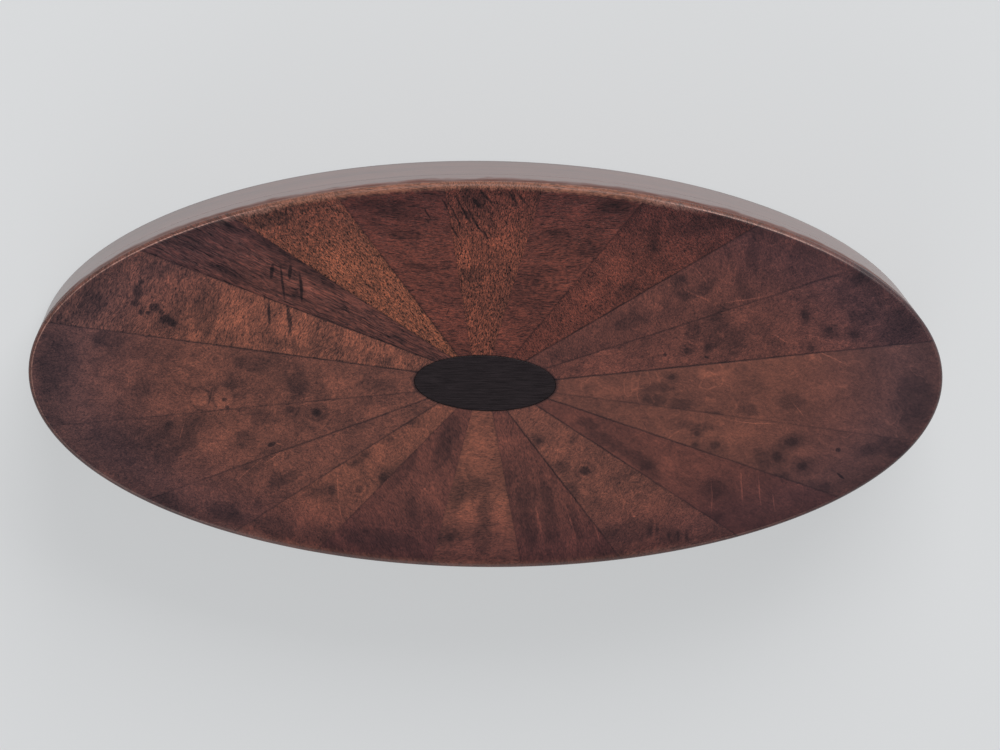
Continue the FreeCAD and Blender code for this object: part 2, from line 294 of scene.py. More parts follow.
def add_node(
    tree: bpy.types.NodeTree,
    kind: str,
    inputs: Mapping[int | str, Given],
    output: str | None = None,
    **settings: object,
) -> Socket:
    """Add a node with its settings and links.

    Args:
        tree: The nodes of the material or the world.
        kind: The node's type, without ShaderNode.
        inputs: A number, colour or link for each socket in use, by name or by order.
        output: The output wanted, if it isn't the first.
        **settings: The node's own settings.
    Returns:
        The output socket.
    """
    node = tree.nodes.new(f"ShaderNode{kind}")
    for name, setting in settings.items():
        setattr(node, name, setting)
    shown = [socket for socket in node.inputs if socket.enabled]
    named = {socket.name: socket for socket in reversed(shown)}
    for key, given in inputs.items():
        socket = shown[key] if isinstance(key, int) else named[key]
        if isinstance(given, Socket):
            tree.links.new(given, socket)
        else:
            socket.default_value = given
    return next(socket for socket in node.outputs if socket.enabled and output in (None, socket.name))


class Recipe:
    """A material while it is mixed, with places in millimetres."""

    def __init__(self, name: str, **shader: float) -> None:
        """Start a material.

        Args:
            name: The material's name.
            **shader: Numbers for the shader's sockets that are the same all over, with _ for each space.
        """
        self.material = bpy.data.materials.new(name)
        self.material.use_nodes = True
        self.tree = self.material.node_tree
        self.add: Adder = partial(add_node, self.tree)
        self.shader = self.tree.nodes["Principled BSDF"]
        for socket, number in shader.items():
            self.shader.inputs[socket.replace("_", " ")].default_value = number
        own = self.add("TexCoord", {}, output="Object")
        self.place = self.add("VectorMath", {"Vector": own, "Scale": 1 / MM}, operation="SCALE")

    def wear(self, inputs: Mapping[str, Socket]) -> bpy.types.Material:
        """Link what varies over the surface to the shader and return the material.

        Args:
            inputs: The link for each of the shader's sockets.
        Returns:
            The finished material.
        """
        for name, given in inputs.items():
            self.tree.links.new(given, self.shader.inputs[name])
        return self.material


class SpotKind(Enum):
    """What a single mark in the figure is."""

    EYE = "eye"
    RING = "ring"
    STAIN = "stain"
    GOUGE = "gouge"
    CRACK = "crack"
    SCRATCH = "scratch"
    GLOW = "glow"
    ALMOND = "almond"
    KNOT = "knot"


@dataclass(frozen=True)
class Spot:
    """One mark on the face: where its middle is, its half sizes and its turn in degrees."""

    x: float
    y: float
    half_length: float
    half_width: float
    turn: float = 0.0


# The palest shade that a mark can have
SHADE_LIMIT = 3.0
# How each kind of mark shades the wood from its middle to its edge: stops of (share of the way out, shade)
SPOT_SHADES = {
    SpotKind.EYE: ((0.0, 0.34), (0.24, 0.40), (0.40, 0.70), (0.58, 0.74), (0.78, 0.94), (1.0, 1.0)),
    SpotKind.RING: (
        (0.0, 0.46), (0.18, 0.54), (0.30, 1.02), (0.46, 0.72), (0.62, 1.06), (0.80, 0.88), (1.0, 1.0)
    ),
    SpotKind.STAIN: ((0.0, 0.61), (0.66, 0.68), (1.0, 1.0)),
    SpotKind.GOUGE: ((0.0, 0.24), (0.7, 0.34), (1.0, 1.0)),
    SpotKind.CRACK: ((0.0, 0.50), (0.5, 0.62), (1.0, 1.0)),
    SpotKind.SCRATCH: ((0.0, 2.10), (0.5, 1.70), (1.0, 1.0)),
    SpotKind.GLOW: ((0.0, 1.34), (0.35, 1.28), (1.0, 1.0)),
    SpotKind.ALMOND: ((0.0, 1.30), (0.58, 1.24), (0.78, 0.74), (1.0, 1.0)),
    SpotKind.KNOT: ((0.0, 0.28), (0.6, 0.36), (1.0, 1.0)),
}


@dataclass(frozen=True)
class Cut:
    """How a leaf of burr was sawn: the size of each part of its figure, and how strong it is."""

    cloud_size: float
    cloud: float
    mottle_size: float
    mottle: float
    speckle_size: float
    speckle: float
    fibre: float
    pore_length: float
    pore_width: float
    pores: float
    stretch: float
    swirl: float
    craze: float


class Leaf(Enum):
    """The cuts of burr veneer in the fan."""

    BURR = Cut(4.4, 0.40, 1.10, 0.34, 0.15, 0.64, 0.07, 0.30, 0.09, 0.22, 1.3, 2.6, 0.40)
    SMOOTH = Cut(4.8, 0.30, 1.30, 0.24, 0.18, 0.36, 0.05, 0.40, 0.09, 0.12, 1.5, 2.6, 0.50)
    STIPPLE = Cut(4.5, 0.30, 0.60, 0.36, 0.11, 1.55, 0.06, 0.42, 0.075, 0.66, 2.0, 1.2, 0.15)
    PEPPER = Cut(4.5, 0.32, 0.80, 0.36, 0.12, 0.95, 0.06, 0.34, 0.085, 0.60, 1.5, 1.2, 0.15)
    FEATHER = Cut(4.0, 0.42, 1.20, 0.50, 0.13, 0.90, 0.10, 0.60, 0.085, 0.46, 1.8, 2.4, 0.30)
    STREAK = Cut(3.6, 0.40, 0.55, 0.34, 0.13, 1.00, 0.06, 3.00, 0.09, 0.62, 6.0, 1.2, 0.10)
    PLAIN = Cut(5.0, 0.32, 1.10, 0.32, 0.15, 0.58, 0.06, 0.60, 0.09, 0.24, 2.0, 1.6, 0.25)
    DASHED = Cut(5.0, 0.34, 0.90, 0.38, 0.13, 0.70, 0.06, 0.90, 0.08, 0.66, 2.4, 1.2, 0.20)


class Tone(Enum):
    """The tones of burr that the fan is sorted from."""

    TAN = "7c4836"
    CHESTNUT = "76483c"
    AMBER = "6e3e32"
    RUSSET = "6c433a"
    MAHOGANY = "64362e"
    BROWN = "643c36"
    UMBER = "5a3530"


@dataclass(frozen=True)
class Wedge:
    """One wedge of the fan: its tone, cut and grain's turn, and the rows of its spots for each kind of mark."""

    tone: Tone
    leaf: Leaf
    grain: float
    marks: Mapping[SpotKind, Sequence[tuple[float, ...]]]


EYE, RING, STAIN, GOUGE, CRACK, SCRATCH, GLOW, ALMOND, KNOT = SpotKind

WEDGES = (
    Wedge(Tone.RUSSET, Leaf.BURR, 10, {
        EYE: ((33.3, 5.5, 1.8, 1.5), (20.6, 3.7, 1.8, 1.1), (17.8, 4.1, 1.6, 1.2)),
        STAIN: (
            (33.8, 7.8, 2.6, 2.0), (31.3, 6.5, 1.2, 1.8), (30.3, 4.7, 1.2, 1.0),
            (38.6, 7.6, 3.4, 1.8, 150), (23.6, 4.5, 1.5, 1.2), (25.2, 6.9, 1.4, 1.2),
        ),
        RING: ((17.8, 3.9, 2.4, 2.0),),
        GLOW: ((28.6, 6.7, 2.2, 1.8), (21.6, 5.9, 2.6, 0.9, 165)),
        GOUGE: ((22.5, 7.4, 0.60, 0.28, 20),),
        SCRATCH: ((21.7, 7.4, 0.50, 0.12, 160), (32.0, 6.2, 1.60, 0.07, 75)),
        CRACK: ((16.6, 5.0, 1.50, 0.10, 48),),
    }),
    Wedge(Tone.RUSSET, Leaf.BURR, 168, {
        STAIN: (
            (24.4, 9.5, 1.8, 1.1, 20), (21.2, 11.0, 2.2, 0.9, 25), (27.2, 14.8, 2.8, 1.1, 158),
            (33.6, 13.4, 3.0, 1.2, 152),
        ),
        GLOW: ((30.0, 12.2, 3.0, 1.4, 157),),
        SCRATCH: ((24.8, 10.2, 2.20, 0.07, 42), (22.2, 8.8, 1.60, 0.07, 35)),
    }),
    Wedge(Tone.CHESTNUT, Leaf.BURR, 120, {
        EYE: (
            (7.9, 4.9, 1.5, 1.1, 170), (12.7, 8.4, 1.6, 1.1, 20), (13.7, 9.3, 1.2, 1.0),
            (10.7, 11.0, 1.9, 1.8), (16.2, 12.3, 1.2, 1.8),
        ),
        RING: ((13.3, 12.1, 2.0, 1.9), (10.0, 6.8, 1.8, 1.3, 30)),
        STAIN: ((17.7, 12.2, 1.6, 1.2), (17.3, 17.2, 2.4, 1.1, 165), (22.4, 16.2, 3.0, 1.2, 160)),
        SCRATCH: ((15.5, 12.0, 1.50, 0.10, 95), (15.2, 14.6, 1.00, 0.09, 100)),
        GLOW: ((11.9, 14.2, 2.2, 1.4, 25), (17.6, 14.6, 2.4, 1.5, 160)),
    }),
    Wedge(Tone.BROWN, Leaf.PLAIN, 118, {
        STAIN: (
            (8.7, 9.6, 3.2, 1.2, 60), (4.2, 7.2, 4.2, 1.2, 68), (11.0, 17.6, 4.6, 1.4, 172),
            (7.6, 14.8, 2.2, 1.0, 100),
        ),
        GLOW: ((5.8, 12.6, 1.8, 2.4),),
        SCRATCH: ((6.4, 12.1, 0.16, 0.16),),
    }),
    Wedge(Tone.CHESTNUT, Leaf.PLAIN, 2, {
        GLOW: ((0.8, 7.8, 1.7, 3.4), (2.2, 14.6, 1.3, 1.7), (-1.8, 14.4, 0.8, 2.8)),
        STAIN: (
            (3.1, 12.2, 1.1, 2.4), (0.9, 12.0, 2.2, 1.3), (0.0, 14.6, 0.9, 2.2), (4.9, 16.6, 0.6, 1.8),
            (0.3, 17.4, 1.3, 2.0),
        ),
        EYE: ((3.7, 17.3, 1.8, 1.5),),
    }),
    Wedge(Tone.BROWN, Leaf.PLAIN, 104, {
        GLOW: ((-2.8, 7.0, 1.1, 2.6, 100),),
        STAIN: (
            (-2.6, 10.6, 1.0, 1.1), (-4.4, 12.6, 1.5, 2.0), (-6.6, 12.8, 2.2, 0.8, 108),
            (-4.6, 16.2, 2.4, 1.1, 100), (-6.9, 15.8, 2.2, 0.9, 106), (-9.5, 15.4, 2.6, 0.8, 112),
        ),
        SCRATCH: (
            (-5.7, 15.4, 2.00, 0.16, 104), (-9.0, 15.4, 2.40, 0.12, 108), (-11.4, 15.6, 2.60, 0.12, 112),
            (-12.8, 17.2, 1.80, 0.10, 116),
        ),
    }),
    Wedge(Tone.RUSSET, Leaf.BURR, 40, {
        EYE: ((-5.5, 6.8, 1.1, 1.0),),
        STAIN: (
            (-9.1, 6.7, 0.46, 0.38), (-6.8, 3.4, 1.1, 0.7), (-10.6, 10.1, 0.9, 0.5),
            (-8.0, 9.6, 1.0, 0.9), (-9.2, 12.2, 1.2, 0.9, 120), (-19.6, 16.9, 1.5, 1.1),
            (-15.0, 16.6, 4.4, 1.4, 8),
        ),
        RING: ((-10.4, 10.0, 2.4, 2.0),),
        GLOW: ((-11.9, 11.4, 2.2, 1.8), (-13.2, 12.9, 2.4, 1.2, 175), (-7.9, 7.6, 1.3, 1.6)),
        GOUGE: ((-9.5, 13.2, 0.50, 0.12, 120),),
        CRACK: (
            (-17.5, 16.3, 1.30, 0.42, 88), (-18.2, 16.5, 1.10, 0.26, 86), (-19.4, 16.9, 1.00, 0.24, 86),
            (-20.4, 16.9, 0.90, 0.22, 86), (-21.3, 16.9, 0.80, 0.24, 84),
        ),
        SCRATCH: ((-15.8, 14.8, 0.18, 0.15),),
    }),
    Wedge(Tone.BROWN, Leaf.SMOOTH, 155, {
        STAIN: (
            (-12.6, 6.8, 2.8, 1.0, 155), (-16.2, 8.7, 2.4, 1.0, 155), (-17.4, 9.9, 1.6, 0.9, 150),
            (-10.6, 4.8, 1.6, 0.7, 158), (-24.0, 11.8, 1.8, 1.4), (-23.0, 15.0, 2.8, 1.0, 10),
        ),
        GLOW: ((-19.0, 9.6, 1.6, 1.4),),
        SCRATCH: (
            (-23.9, 12.6, 2.40, 0.08, 92), (-27.0, 11.6, 2.20, 0.09, 95), (-28.9, 11.8, 2.20, 0.09, 96),
            (-30.5, 13.0, 1.40, 0.08, 97), (-14.2, 9.4, 2.60, 0.10, 150), (-20.2, 13.0, 2.60, 0.08, 152),
        ),
    }),
    Wedge(Tone.RUSSET, Leaf.SMOOTH, 170, {
        EYE: (
            (-22.2, 5.9, 1.1, 0.9), (-24.1, 7.1, 1.8, 1.4), (-22.0, 7.1, 1.1, 0.8),
            (-32.2, 6.7, 2.2, 1.4), (-30.7, 8.3, 1.6, 1.9), (-33.4, 9.3, 1.8, 1.4),
            (-32.7, 11.4, 1.2, 0.9),
        ),
        GLOW: ((-24.4, 6.6, 3.2, 1.3, 5), (-27.6, 5.7, 2.2, 0.9), (-33.8, 7.8, 1.1, 1.0)),
        STAIN: (
            (-22.0, 5.1, 2.6, 0.6, 176), (-31.2, 10.8, 1.3, 1.2), (-35.0, 11.5, 2.2, 1.0, 175),
            (-29.1, 8.6, 1.9, 0.9, 110), (-43.0, 7.2, 2.4, 1.3, 160), (-40.6, 7.4, 1.3, 0.9),
        ),
        KNOT: ((-37.1, 7.5, 0.34, 0.28),),
        GOUGE: ((-37.5, 10.3, 0.60, 0.16, 140),),
        SCRATCH: ((-33.7, 12.1, 1.20, 0.09, 168), (-28.4, 4.7, 2.60, 0.08, 175)),
    }),
    Wedge(Tone.RUSSET, Leaf.SMOOTH, 165, {
        EYE: ((-19.4, -0.1, 1.2, 1.0),),
        STAIN: (
            (-17.7, 2.3, 1.7, 0.7, 175), (-20.4, 2.8, 1.5, 0.8), (-23.4, 3.9, 2.2, 0.5, 175),
            (-27.4, 3.4, 1.3, 0.9), (-18.2, 1.0, 2.0, 0.6), (-32.0, 2.5, 1.7, 1.1),
            (-45.0, 2.4, 2.4, 4.2),
        ),
        GLOW: ((-23.6, -0.3, 2.8, 0.9, 168), (-14.0, 1.3, 2.8, 0.7, 178), (-36.0, 0.8, 2.6, 1.4)),
        SCRATCH: ((-32.8, 3.2, 1.30, 0.08, 130), (-36.0, -2.4, 2.60, 0.08, 155)),
    }),
    Wedge(Tone.BROWN, Leaf.BURR, 15, {
        STAIN: (
            (-21.5, -4.9, 1.0, 1.4), (-24.0, -5.6, 1.6, 1.0), (-25.9, -3.9, 1.3, 1.9),
            (-23.3, -6.7, 2.8, 0.7, 172), (-23.6, -4.0, 1.4, 0.9), (-39.4, -7.0, 1.8, 1.4),
            (-43.2, -5.4, 2.4, 2.6), (-39.2, -11.0, 1.6, 1.0, 40),
        ),
        EYE: (
            (-21.1, -2.9, 1.6, 1.2), (-23.1, -3.3, 1.0, 0.9), (-33.2, -6.9, 1.2, 1.8),
            (-35.8, -5.3, 1.7, 1.2, 150), (-38.5, -4.9, 1.8, 1.4), (-33.9, -3.3, 1.6, 1.0, 165),
        ),
        KNOT: ((-18.6, -2.5, 0.28, 0.24), (-23.0, -2.3, 0.36, 0.18, 160)),
        GLOW: ((-31.0, -5.0, 1.7, 1.4), (-13.2, -2.6, 2.6, 0.9, 172)),
        CRACK: ((-15.4, -4.3, 2.60, 0.08, 20),),
        SCRATCH: ((-30.6, -4.4, 1.20, 0.10, 150),),
    }),
    Wedge(Tone.BROWN, Leaf.BURR, 100, {
        EYE: ((-20.3, -10.6, 1.2, 1.1),),
        STAIN: (
            (-26.8, -9.2, 1.3, 1.0), (-26.6, -10.8, 0.8, 1.4), (-22.8, -9.7, 1.6, 0.8, 40),
            (-20.8, -8.9, 1.2, 0.7), (-24.7, -7.1, 1.0, 0.4, 12), (-24.2, -7.4, 2.2, 0.6, 12),
            (-15.2, -6.1, 3.0, 0.9, 20), (-27.6, -13.0, 0.9, 2.8),
        ),
        GLOW: ((-19.2, -8.4, 2.0, 0.8, 155), (-26.2, -7.0, 1.0, 0.6, 120)),
        SCRATCH: (
            (-21.9, -8.8, 2.20, 0.12, 152), (-22.4, -10.8, 1.60, 0.10, 130),
            (-26.6, -8.3, 2.60, 0.10, 10),
        ),
        CRACK: ((-34.6, -10.6, 2.60, 0.16, 18),),
    }),
    Wedge(Tone.MAHOGANY, Leaf.PEPPER, 125, {
        EYE: ((-17.2, -13.8, 1.4, 1.2),),
        STAIN: (
            (-17.3, -15.2, 0.9, 1.4), (-14.4, -9.2, 1.5, 0.8, 25), (-14.9, -17.3, 1.9, 0.6, 55),
            (-22.0, -16.3, 4.0, 1.1, 14),
        ),
        GLOW: ((-13.4, -11.8, 2.2, 1.4, 50), (-11.0, -8.8, 2.2, 1.2, 45)),
    }),
    Wedge(Tone.MAHOGANY, Leaf.DASHED, 4, {
        STAIN: ((-10.6, -13.8, 1.7, 1.2), (-13.0, -18.0, 2.6, 0.9, 5), (-7.0, -15.3, 2.0, 0.6, 175)),
        RING: ((-5.0, -10.0, 2.4, 2.0),),
        GLOW: ((-8.4, -9.8, 1.8, 1.0, 45),),
    }),
    Wedge(Tone.AMBER, Leaf.STIPPLE, 88, {
        GOUGE: (
            (2.4, -17.1, 1.00, 0.28, 128), (1.4, -18.3, 0.90, 0.24, 128), (0.4, -19.0, 1.00, 0.24, 128),
            (-2.4, -19.0, 1.00, 0.18, 126), (-3.4, -18.8, 0.80, 0.18, 126), (3.4, -16.8, 2.00, 0.12, 120),
            (2.9, -17.8, 1.60, 0.10, 122), (1.4, -16.4, 1.90, 0.14, 124), (3.6, -15.4, 1.20, 0.11, 122),
            (0.3, -15.0, 0.80, 0.14, 115), (2.9, -13.0, 0.45, 0.07, 60),
        ),
        STAIN: ((1.4, -18.5, 2.8, 1.4, 125), (2.0, -10.7, 1.8, 0.9)),
        GLOW: ((2.6, -12.9, 1.4, 1.8), (-1.5, -14.3, 2.4, 1.0)),
    }),
    Wedge(Tone.MAHOGANY, Leaf.DASHED, 176, {
        GOUGE: (
            (6.4, -17.2, 0.80, 0.10, 122), (4.5, -17.9, 1.20, 0.13, 121), (4.3, -6.8, 0.50, 0.06, 70),
        ),
        STAIN: ((10.4, -17.6, 4.4, 1.2, 174), (6.8, -11.6, 2.4, 0.5, 176), (9.0, -15.0, 2.6, 0.7, 176)),
    }),
    Wedge(Tone.TAN, Leaf.STIPPLE, 128, {
        GLOW: ((15.6, -11.8, 3.8, 2.0, 135),),
        STAIN: ((22.6, -16.3, 2.8, 0.9, 10),),
        GOUGE: (
            (24.5, -16.8, 0.45, 0.13, 80), (23.0, -17.1, 0.35, 0.12, 84), (21.2, -17.5, 0.45, 0.12, 82),
        ),
        CRACK: ((12.2, -9.2, 3.20, 0.08, 136), (7.6, -5.4, 2.60, 0.08, 142)),
    }),
    Wedge(Tone.UMBER, Leaf.STREAK, 154, {
        GOUGE: (
            (22.6, -11.0, 1.00, 0.26, 82), (20.7, -10.9, 1.00, 0.22, 85), (21.45, -9.8, 2.00, 0.15, 97),
            (19.6, -9.3, 1.80, 0.20, 97), (27.0, -16.9, 0.60, 0.30, 20),
        ),
        STAIN: (
            (20.0, -8.7, 1.1, 1.0), (22.6, -13.4, 4.6, 0.7, 153), (17.2, -10.2, 3.4, 0.9, 150),
            (26.2, -10.3, 4.4, 0.6, 156), (27.6, -15.6, 2.6, 0.5, 153),
        ),
        GLOW: ((25.4, -13.0, 3.2, 0.6, 152), (18.4, -8.5, 2.0, 0.8, 150)),
    }),
    Wedge(Tone.CHESTNUT, Leaf.FEATHER, 70, {
        KNOT: (
            (36.6, -8.6, 0.60, 1.00), (36.8, -7.5, 0.55, 0.55), (36.2, -9.7, 0.40, 0.36),
            (36.2, -6.5, 0.40, 0.36), (35.5, -6.4, 0.34, 0.26), (34.8, -7.0, 0.75, 0.60),
            (34.1, -6.5, 0.38, 0.42), (33.7, -5.8, 0.80, 0.60, 30), (33.0, -5.4, 0.62, 0.52),
        ),
        STAIN: (
            (33.0, -5.4, 2.4, 1.3, 30), (29.6, -7.2, 1.5, 3.6), (34.9, -10.9, 1.8, 1.0),
            (41.4, -6.8, 2.4, 1.6, 51), (22.5, -2.8, 0.8, 1.1), (10.6, -1.5, 0.7, 0.6),
        ),
        GLOW: ((25.6, -5.6, 3.4, 2.6, 165), (20.2, -5.0, 3.2, 2.2, 160)),
        GOUGE: ((22.85, -6.7, 1.50, 0.18, 94), (20.8, -6.0, 1.90, 0.26, 94)),
        SCRATCH: ((17.2, -4.9, 0.90, 0.08, 97),),
        CRACK: ((26.6, -8.2, 0.90, 0.08, 68),),
    }),
    Wedge(Tone.RUSSET, Leaf.BURR, 5, {
        ALMOND: ((30.1, 2.5, 1.3, 1.4), (27.6, 2.5, 1.4, 1.8)),
        KNOT: ((27.5, 2.7, 0.36, 0.26), (27.2, 3.5, 0.30, 0.24)),
        CRACK: ((28.9, 2.5, 1.30, 0.11, 78), (29.6, 3.9, 1.20, 0.14, 176)),
        STAIN: (
            (26.9, 1.0, 0.9, 1.2), (24.6, -1.2, 2.4, 1.1, 172), (19.8, 0.8, 1.4, 2.0),
            (11.6, 1.0, 2.4, 1.0), (36.0, 1.5, 1.4, 1.2), (44.8, -0.3, 2.8, 4.0),
            (39.6, -3.6, 2.0, 1.1, 170),
        ),
        GLOW: ((16.0, 1.0, 1.9, 1.3),),
    }),
)


@dataclass(frozen=True)
class Joint:
    """A joint of the fan: its inner end, the direction across it and how dark its glue line is."""

    inner: Point
    across: Vector
    line: float


@dataclass(frozen=True)
class BurrVeneer:
    """Burr veneer, scraped and French polished: soft satin, with deep red-brown figure.

    Joints show here and there as fine dark glue lines, and the rounded arris at the rim is rubbed to bare wood:
    tan along the middle of the front, and elsewhere a pale line over brown, the pale line partly a painted
    highlight.
    Towards the rim the wood is darkened by dirt and painted shade, and greyed at the oval's two ends by a
    painted reflection.
    """

    worn_tan: str = "80503e"
    worn_edge_and_highlight: str = "b4877a"
    worn_brown: str = "6a3f33"
    roughness: float = 0.38
    worn_roughness: float = 0.7
    specular: float = 0.4
    polish: float = 0.2
    polish_roughness: float = 0.24
    bump_strength: float = 0.3
    bump_depth: float = 0.03
    # What a wedge's number is multiplied by, so that no two wedges have the same figure
    seed_step: float = 1.7
    # The figure wanders in bends of one size, and fibres run as fine lines round swirls of another
    bend_size: float = 5.0
    swirl_size: float = 3.2
    fibre_pace: float = 90.0
    # The polish is crazed in patches, with hairlines that wander: the size of a bend and its reach
    craze_patch: float = 6.0
    craze_mesh: float = 5.0
    craze_bend: tuple[float, float] = (1.6, 0.8)
    craze_width: float = 0.009
    # How far the edge of a mark wanders: the size of a bend and its reach
    ragged: tuple[float, float] = (0.9, 0.9)
    crisp: tuple[float, float] = (0.8, 0.28)
    sharp: tuple[float, float] = (0.5, 0.2)
    bent: tuple[float, float] = (3.0, 0.6)
    # A glue line is filled here and there and tight in between, and fades towards the rim
    joint_core: float = 0.02
    joint_width: float = 0.15
    joint_depth: float = 0.85
    fills_per_mm: float = 0.45
    joint_least: float = 0.6
    inlay_line: float = 0.3
    # Wear on the arris, the pale edge partly a painted highlight: the depths where the pale edge and the brown
    # below it begin and are full
    edge_depths: tuple[float, float] = (0.025, 0.05)
    brown_depths: tuple[float, float] = (0.06, 0.10)
    patches_per_mm: float = 1.6
    # How much of the rubbed colour and its painted highlight is left at the hinge side
    hinge_side_wear_and_highlight: float = 0.25
    # The tan along the front: its middle, half its length, the softness of its ends and its ragged border
    tan_middle: float = 3.0
    tan_reach: float = 22.0
    tan_fade: float = 4.0
    tan_border: float = 0.05
    tan_from: float = 0.984
    # Towards the -X end the arris is hardly rubbed, and its painted highlight fades with the rubbed colour
    kept_from: float = -40.0
    kept_to: float = -30.0
    kept_wear_and_highlight: float = 0.15
    # The dark line where the fan meets the side veneer
    seam_core: float = 0.04
    seam_height: float = 0.16
    seam_shade: float = 0.45
    # Dirt and painted shade on the face towards the rim, and a darker band just inside the arris, as shares of
    # the way out; and where the painted grey reflection of the two ends begins and is full
    rim_dark_from: float = 0.6
    rim_dark_to: float = 0.97
    edge_dark_from: float = 0.90
    edge_dark_shade: float = 0.80
    ends_from: float = 18.0
    ends_to: float = 46.0
    # How much red, green and blue are left at the rim, along the sides and at the oval's two ends: dirt and
    # painted shade along the sides, and a painted grey reflection at the ends
    rim_grime_and_shade: tuple[float, float, float] = (0.65, 0.62, 0.76)
    end_painted_sheen: tuple[float, float, float] = (0.70, 0.90, 1.22)
    # A painted reflection greys the dark figure: how fast each of red, green and blue follows the shade
    sheen_greying: tuple[float, float, float] = (1.0, 0.8, 0.58)

    def mix(self, number: int, wedge: Wedge, fan: VeneerFan, joints: Sequence[Joint]) -> bpy.types.Material:
        """Mix the material of one wedge.

        Args:
            number: The wedge's number.
            wedge: Its tone, cut and marks.
            fan: The fan that it belongs to.
            joints: Its two joints.
        Returns:
            The material.
        """
        recipe = Recipe(
            f"burr_veneer_{number:02d}",
            Coat_Weight=self.polish,
            Coat_Roughness=self.polish_roughness,
            Specular_IOR_Level=self.specular,
        )
        add = recipe.add
        seed = self.seed_step * number
        out = self.reach(recipe, fan.outline, fan.top)
        shades = [
            *self.figure(recipe, wedge, seed),
            *self.marks(recipe, wedge, seed, fan.top),
            *self.glue_lines(recipe, fan, joints, out, seed),
        ]
        shade = shades[0]
        for other in shades[1:]:
            shade = add("Math", {0: shade, 1: other}, operation="MULTIPLY")
        wood = self.tint(recipe, wedge, out, shade)
        rubbed, wear_and_painted_light = self.wear_rim_and_highlight(recipe, fan, out, seed)
        # A little of the figure still shows on the rubbed wood and on its painted highlight
        grain = add("MapRange", {"Value": shade, "From Min": 0.4, "From Max": 1.3, "To Min": 0.45,
                                 "To Max": 1.35})
        wear_and_painted_light = add("VectorMath", {"Vector": wear_and_painted_light, "Scale": grain}, operation="SCALE")
        wood = add("Mix", {"Factor": rubbed, "A": wood, "B": wear_and_painted_light}, data_type="RGBA")
        wood = add("VectorMath", {"Vector": wood, "Scale": self.seam(recipe, fan)}, operation="SCALE")
        rough = add("MapRange", {"Value": rubbed, "To Min": self.roughness, "To Max": self.worn_roughness})
        bump = add("Bump", {"Height": shade, "Strength": self.bump_strength,
                            "Distance": self.bump_depth * MM})
        return recipe.wear({"Base Color": wood, "Roughness": rough, "Normal": bump})

    def push(self, recipe: Recipe, seed: float, size: float, reach: float) -> Socket:
        """Push places about at random, so that a pattern drawn on them wanders.

        Args:
            recipe: The material.
            seed: What makes this wedge differ.
            size: The size of a bend.
            reach: How far places are pushed.
        Returns:
            The pushed places.
        """
        add = recipe.add
        push = add("TexNoise", {"Vector": recipe.place, "W": seed, "Scale": 1 / size, "Detail": 3.0},
                   output="Color", noise_dimensions="4D")
        push = add("VectorMath", {0: push, 1: (0.5, 0.5, 0.5)}, operation="SUBTRACT")
        push = add("VectorMath", {"Vector": push, "Scale": reach}, operation="SCALE")
        return add("VectorMath", {0: recipe.place, 1: push}, operation="ADD")

    def figure(self, recipe: Recipe, wedge: Wedge, seed: float) -> list[Socket]:
        """Return the shades of the figure: clouds, mottle, speckle, fibres, pores and crazed polish.

        Args:
            recipe: The material.
            wedge: The wedge's cut and grain.
            seed: What makes this wedge differ.
        Returns:
            One shade for each.
        """
        add, cut = recipe.add, wedge.leaf.value
        wander = self.push(recipe, seed, self.bend_size, cut.swirl)
        turn = (0.0, 0.0, math.radians(wedge.grain))
        grain = add("Mapping", {"Vector": wander, "Rotation": turn, "Scale": (cut.stretch, 1, 1)},
                    vector_type="TEXTURE")
        dashes = add("Mapping", {"Vector": wander, "Rotation": turn,
                                 "Scale": (cut.pore_length, cut.pore_width, 1)}, vector_type="TEXTURE")

        def noise(places: Socket, size: float, detail: float, rough: float) -> Socket:
            """Return noise of a size."""
            return add("TexNoise", {"Vector": places, "W": seed, "Scale": 1 / size, "Detail": detail,
                                    "Roughness": rough, "Distortion": 0.6}, noise_dimensions="4D")

        def spread(tone: Socket, low: float, high: float, strength: float) -> Socket:
            """Return a shade that swings about 1 as the tone goes from low to high."""
            return add("MapRange", {"Value": tone, "From Min": low, "From Max": high, "To Min": 1 - strength,
                                    "To Max": 1 + strength})

        clouds = spread(noise(grain, cut.cloud_size, 4.0, 0.6), 0.25, 0.75, cut.cloud)
        mottle = spread(noise(grain, cut.mottle_size, 3.0, 0.6), 0.25, 0.75, cut.mottle)
        speckle = spread(noise(grain, cut.speckle_size, 2.0, 0.6), 0.25, 0.75, cut.speckle)
        # Fibres, sawn through at a slant, run round the burr's knots as fine lines
        rings = add("Math", {0: noise(grain, self.swirl_size, 2.0, 0.5), 1: self.fibre_pace},
                    operation="MULTIPLY")
        fibres = spread(add("Math", {0: rings}, operation="SINE"), -1.0, 1.0, cut.fibre)
        pores = add("MapRange", {"Value": noise(dashes, 1.0, 2.0, 0.6), "From Min": 0.48, "From Max": 0.62,
                                 "To Min": 1 + cut.pores / 4, "To Max": 1 - cut.pores})
        # Old polish is crazed in patches: pale hairlines
        crazed = add("MapRange", {"Value": noise(wander, self.craze_patch, 2.0, 0.5), "From Min": 0.45,
                                  "From Max": 0.6, "To Min": 1.0, "To Max": 1 + cut.craze})
        line = noise(self.push(recipe, seed, *self.craze_bend), self.craze_mesh, 2.0, 0.5)
        line = add("Math", {0: line, 1: 0.5}, operation="SUBTRACT")
        line = add("Math", {0: line}, operation="ABSOLUTE")
        craze = add("MapRange", {"Value": line, "From Max": self.craze_width, "To Min": crazed,
                                 "To Max": 1.0})
        return [clouds, mottle, speckle, fibres, pores, craze]

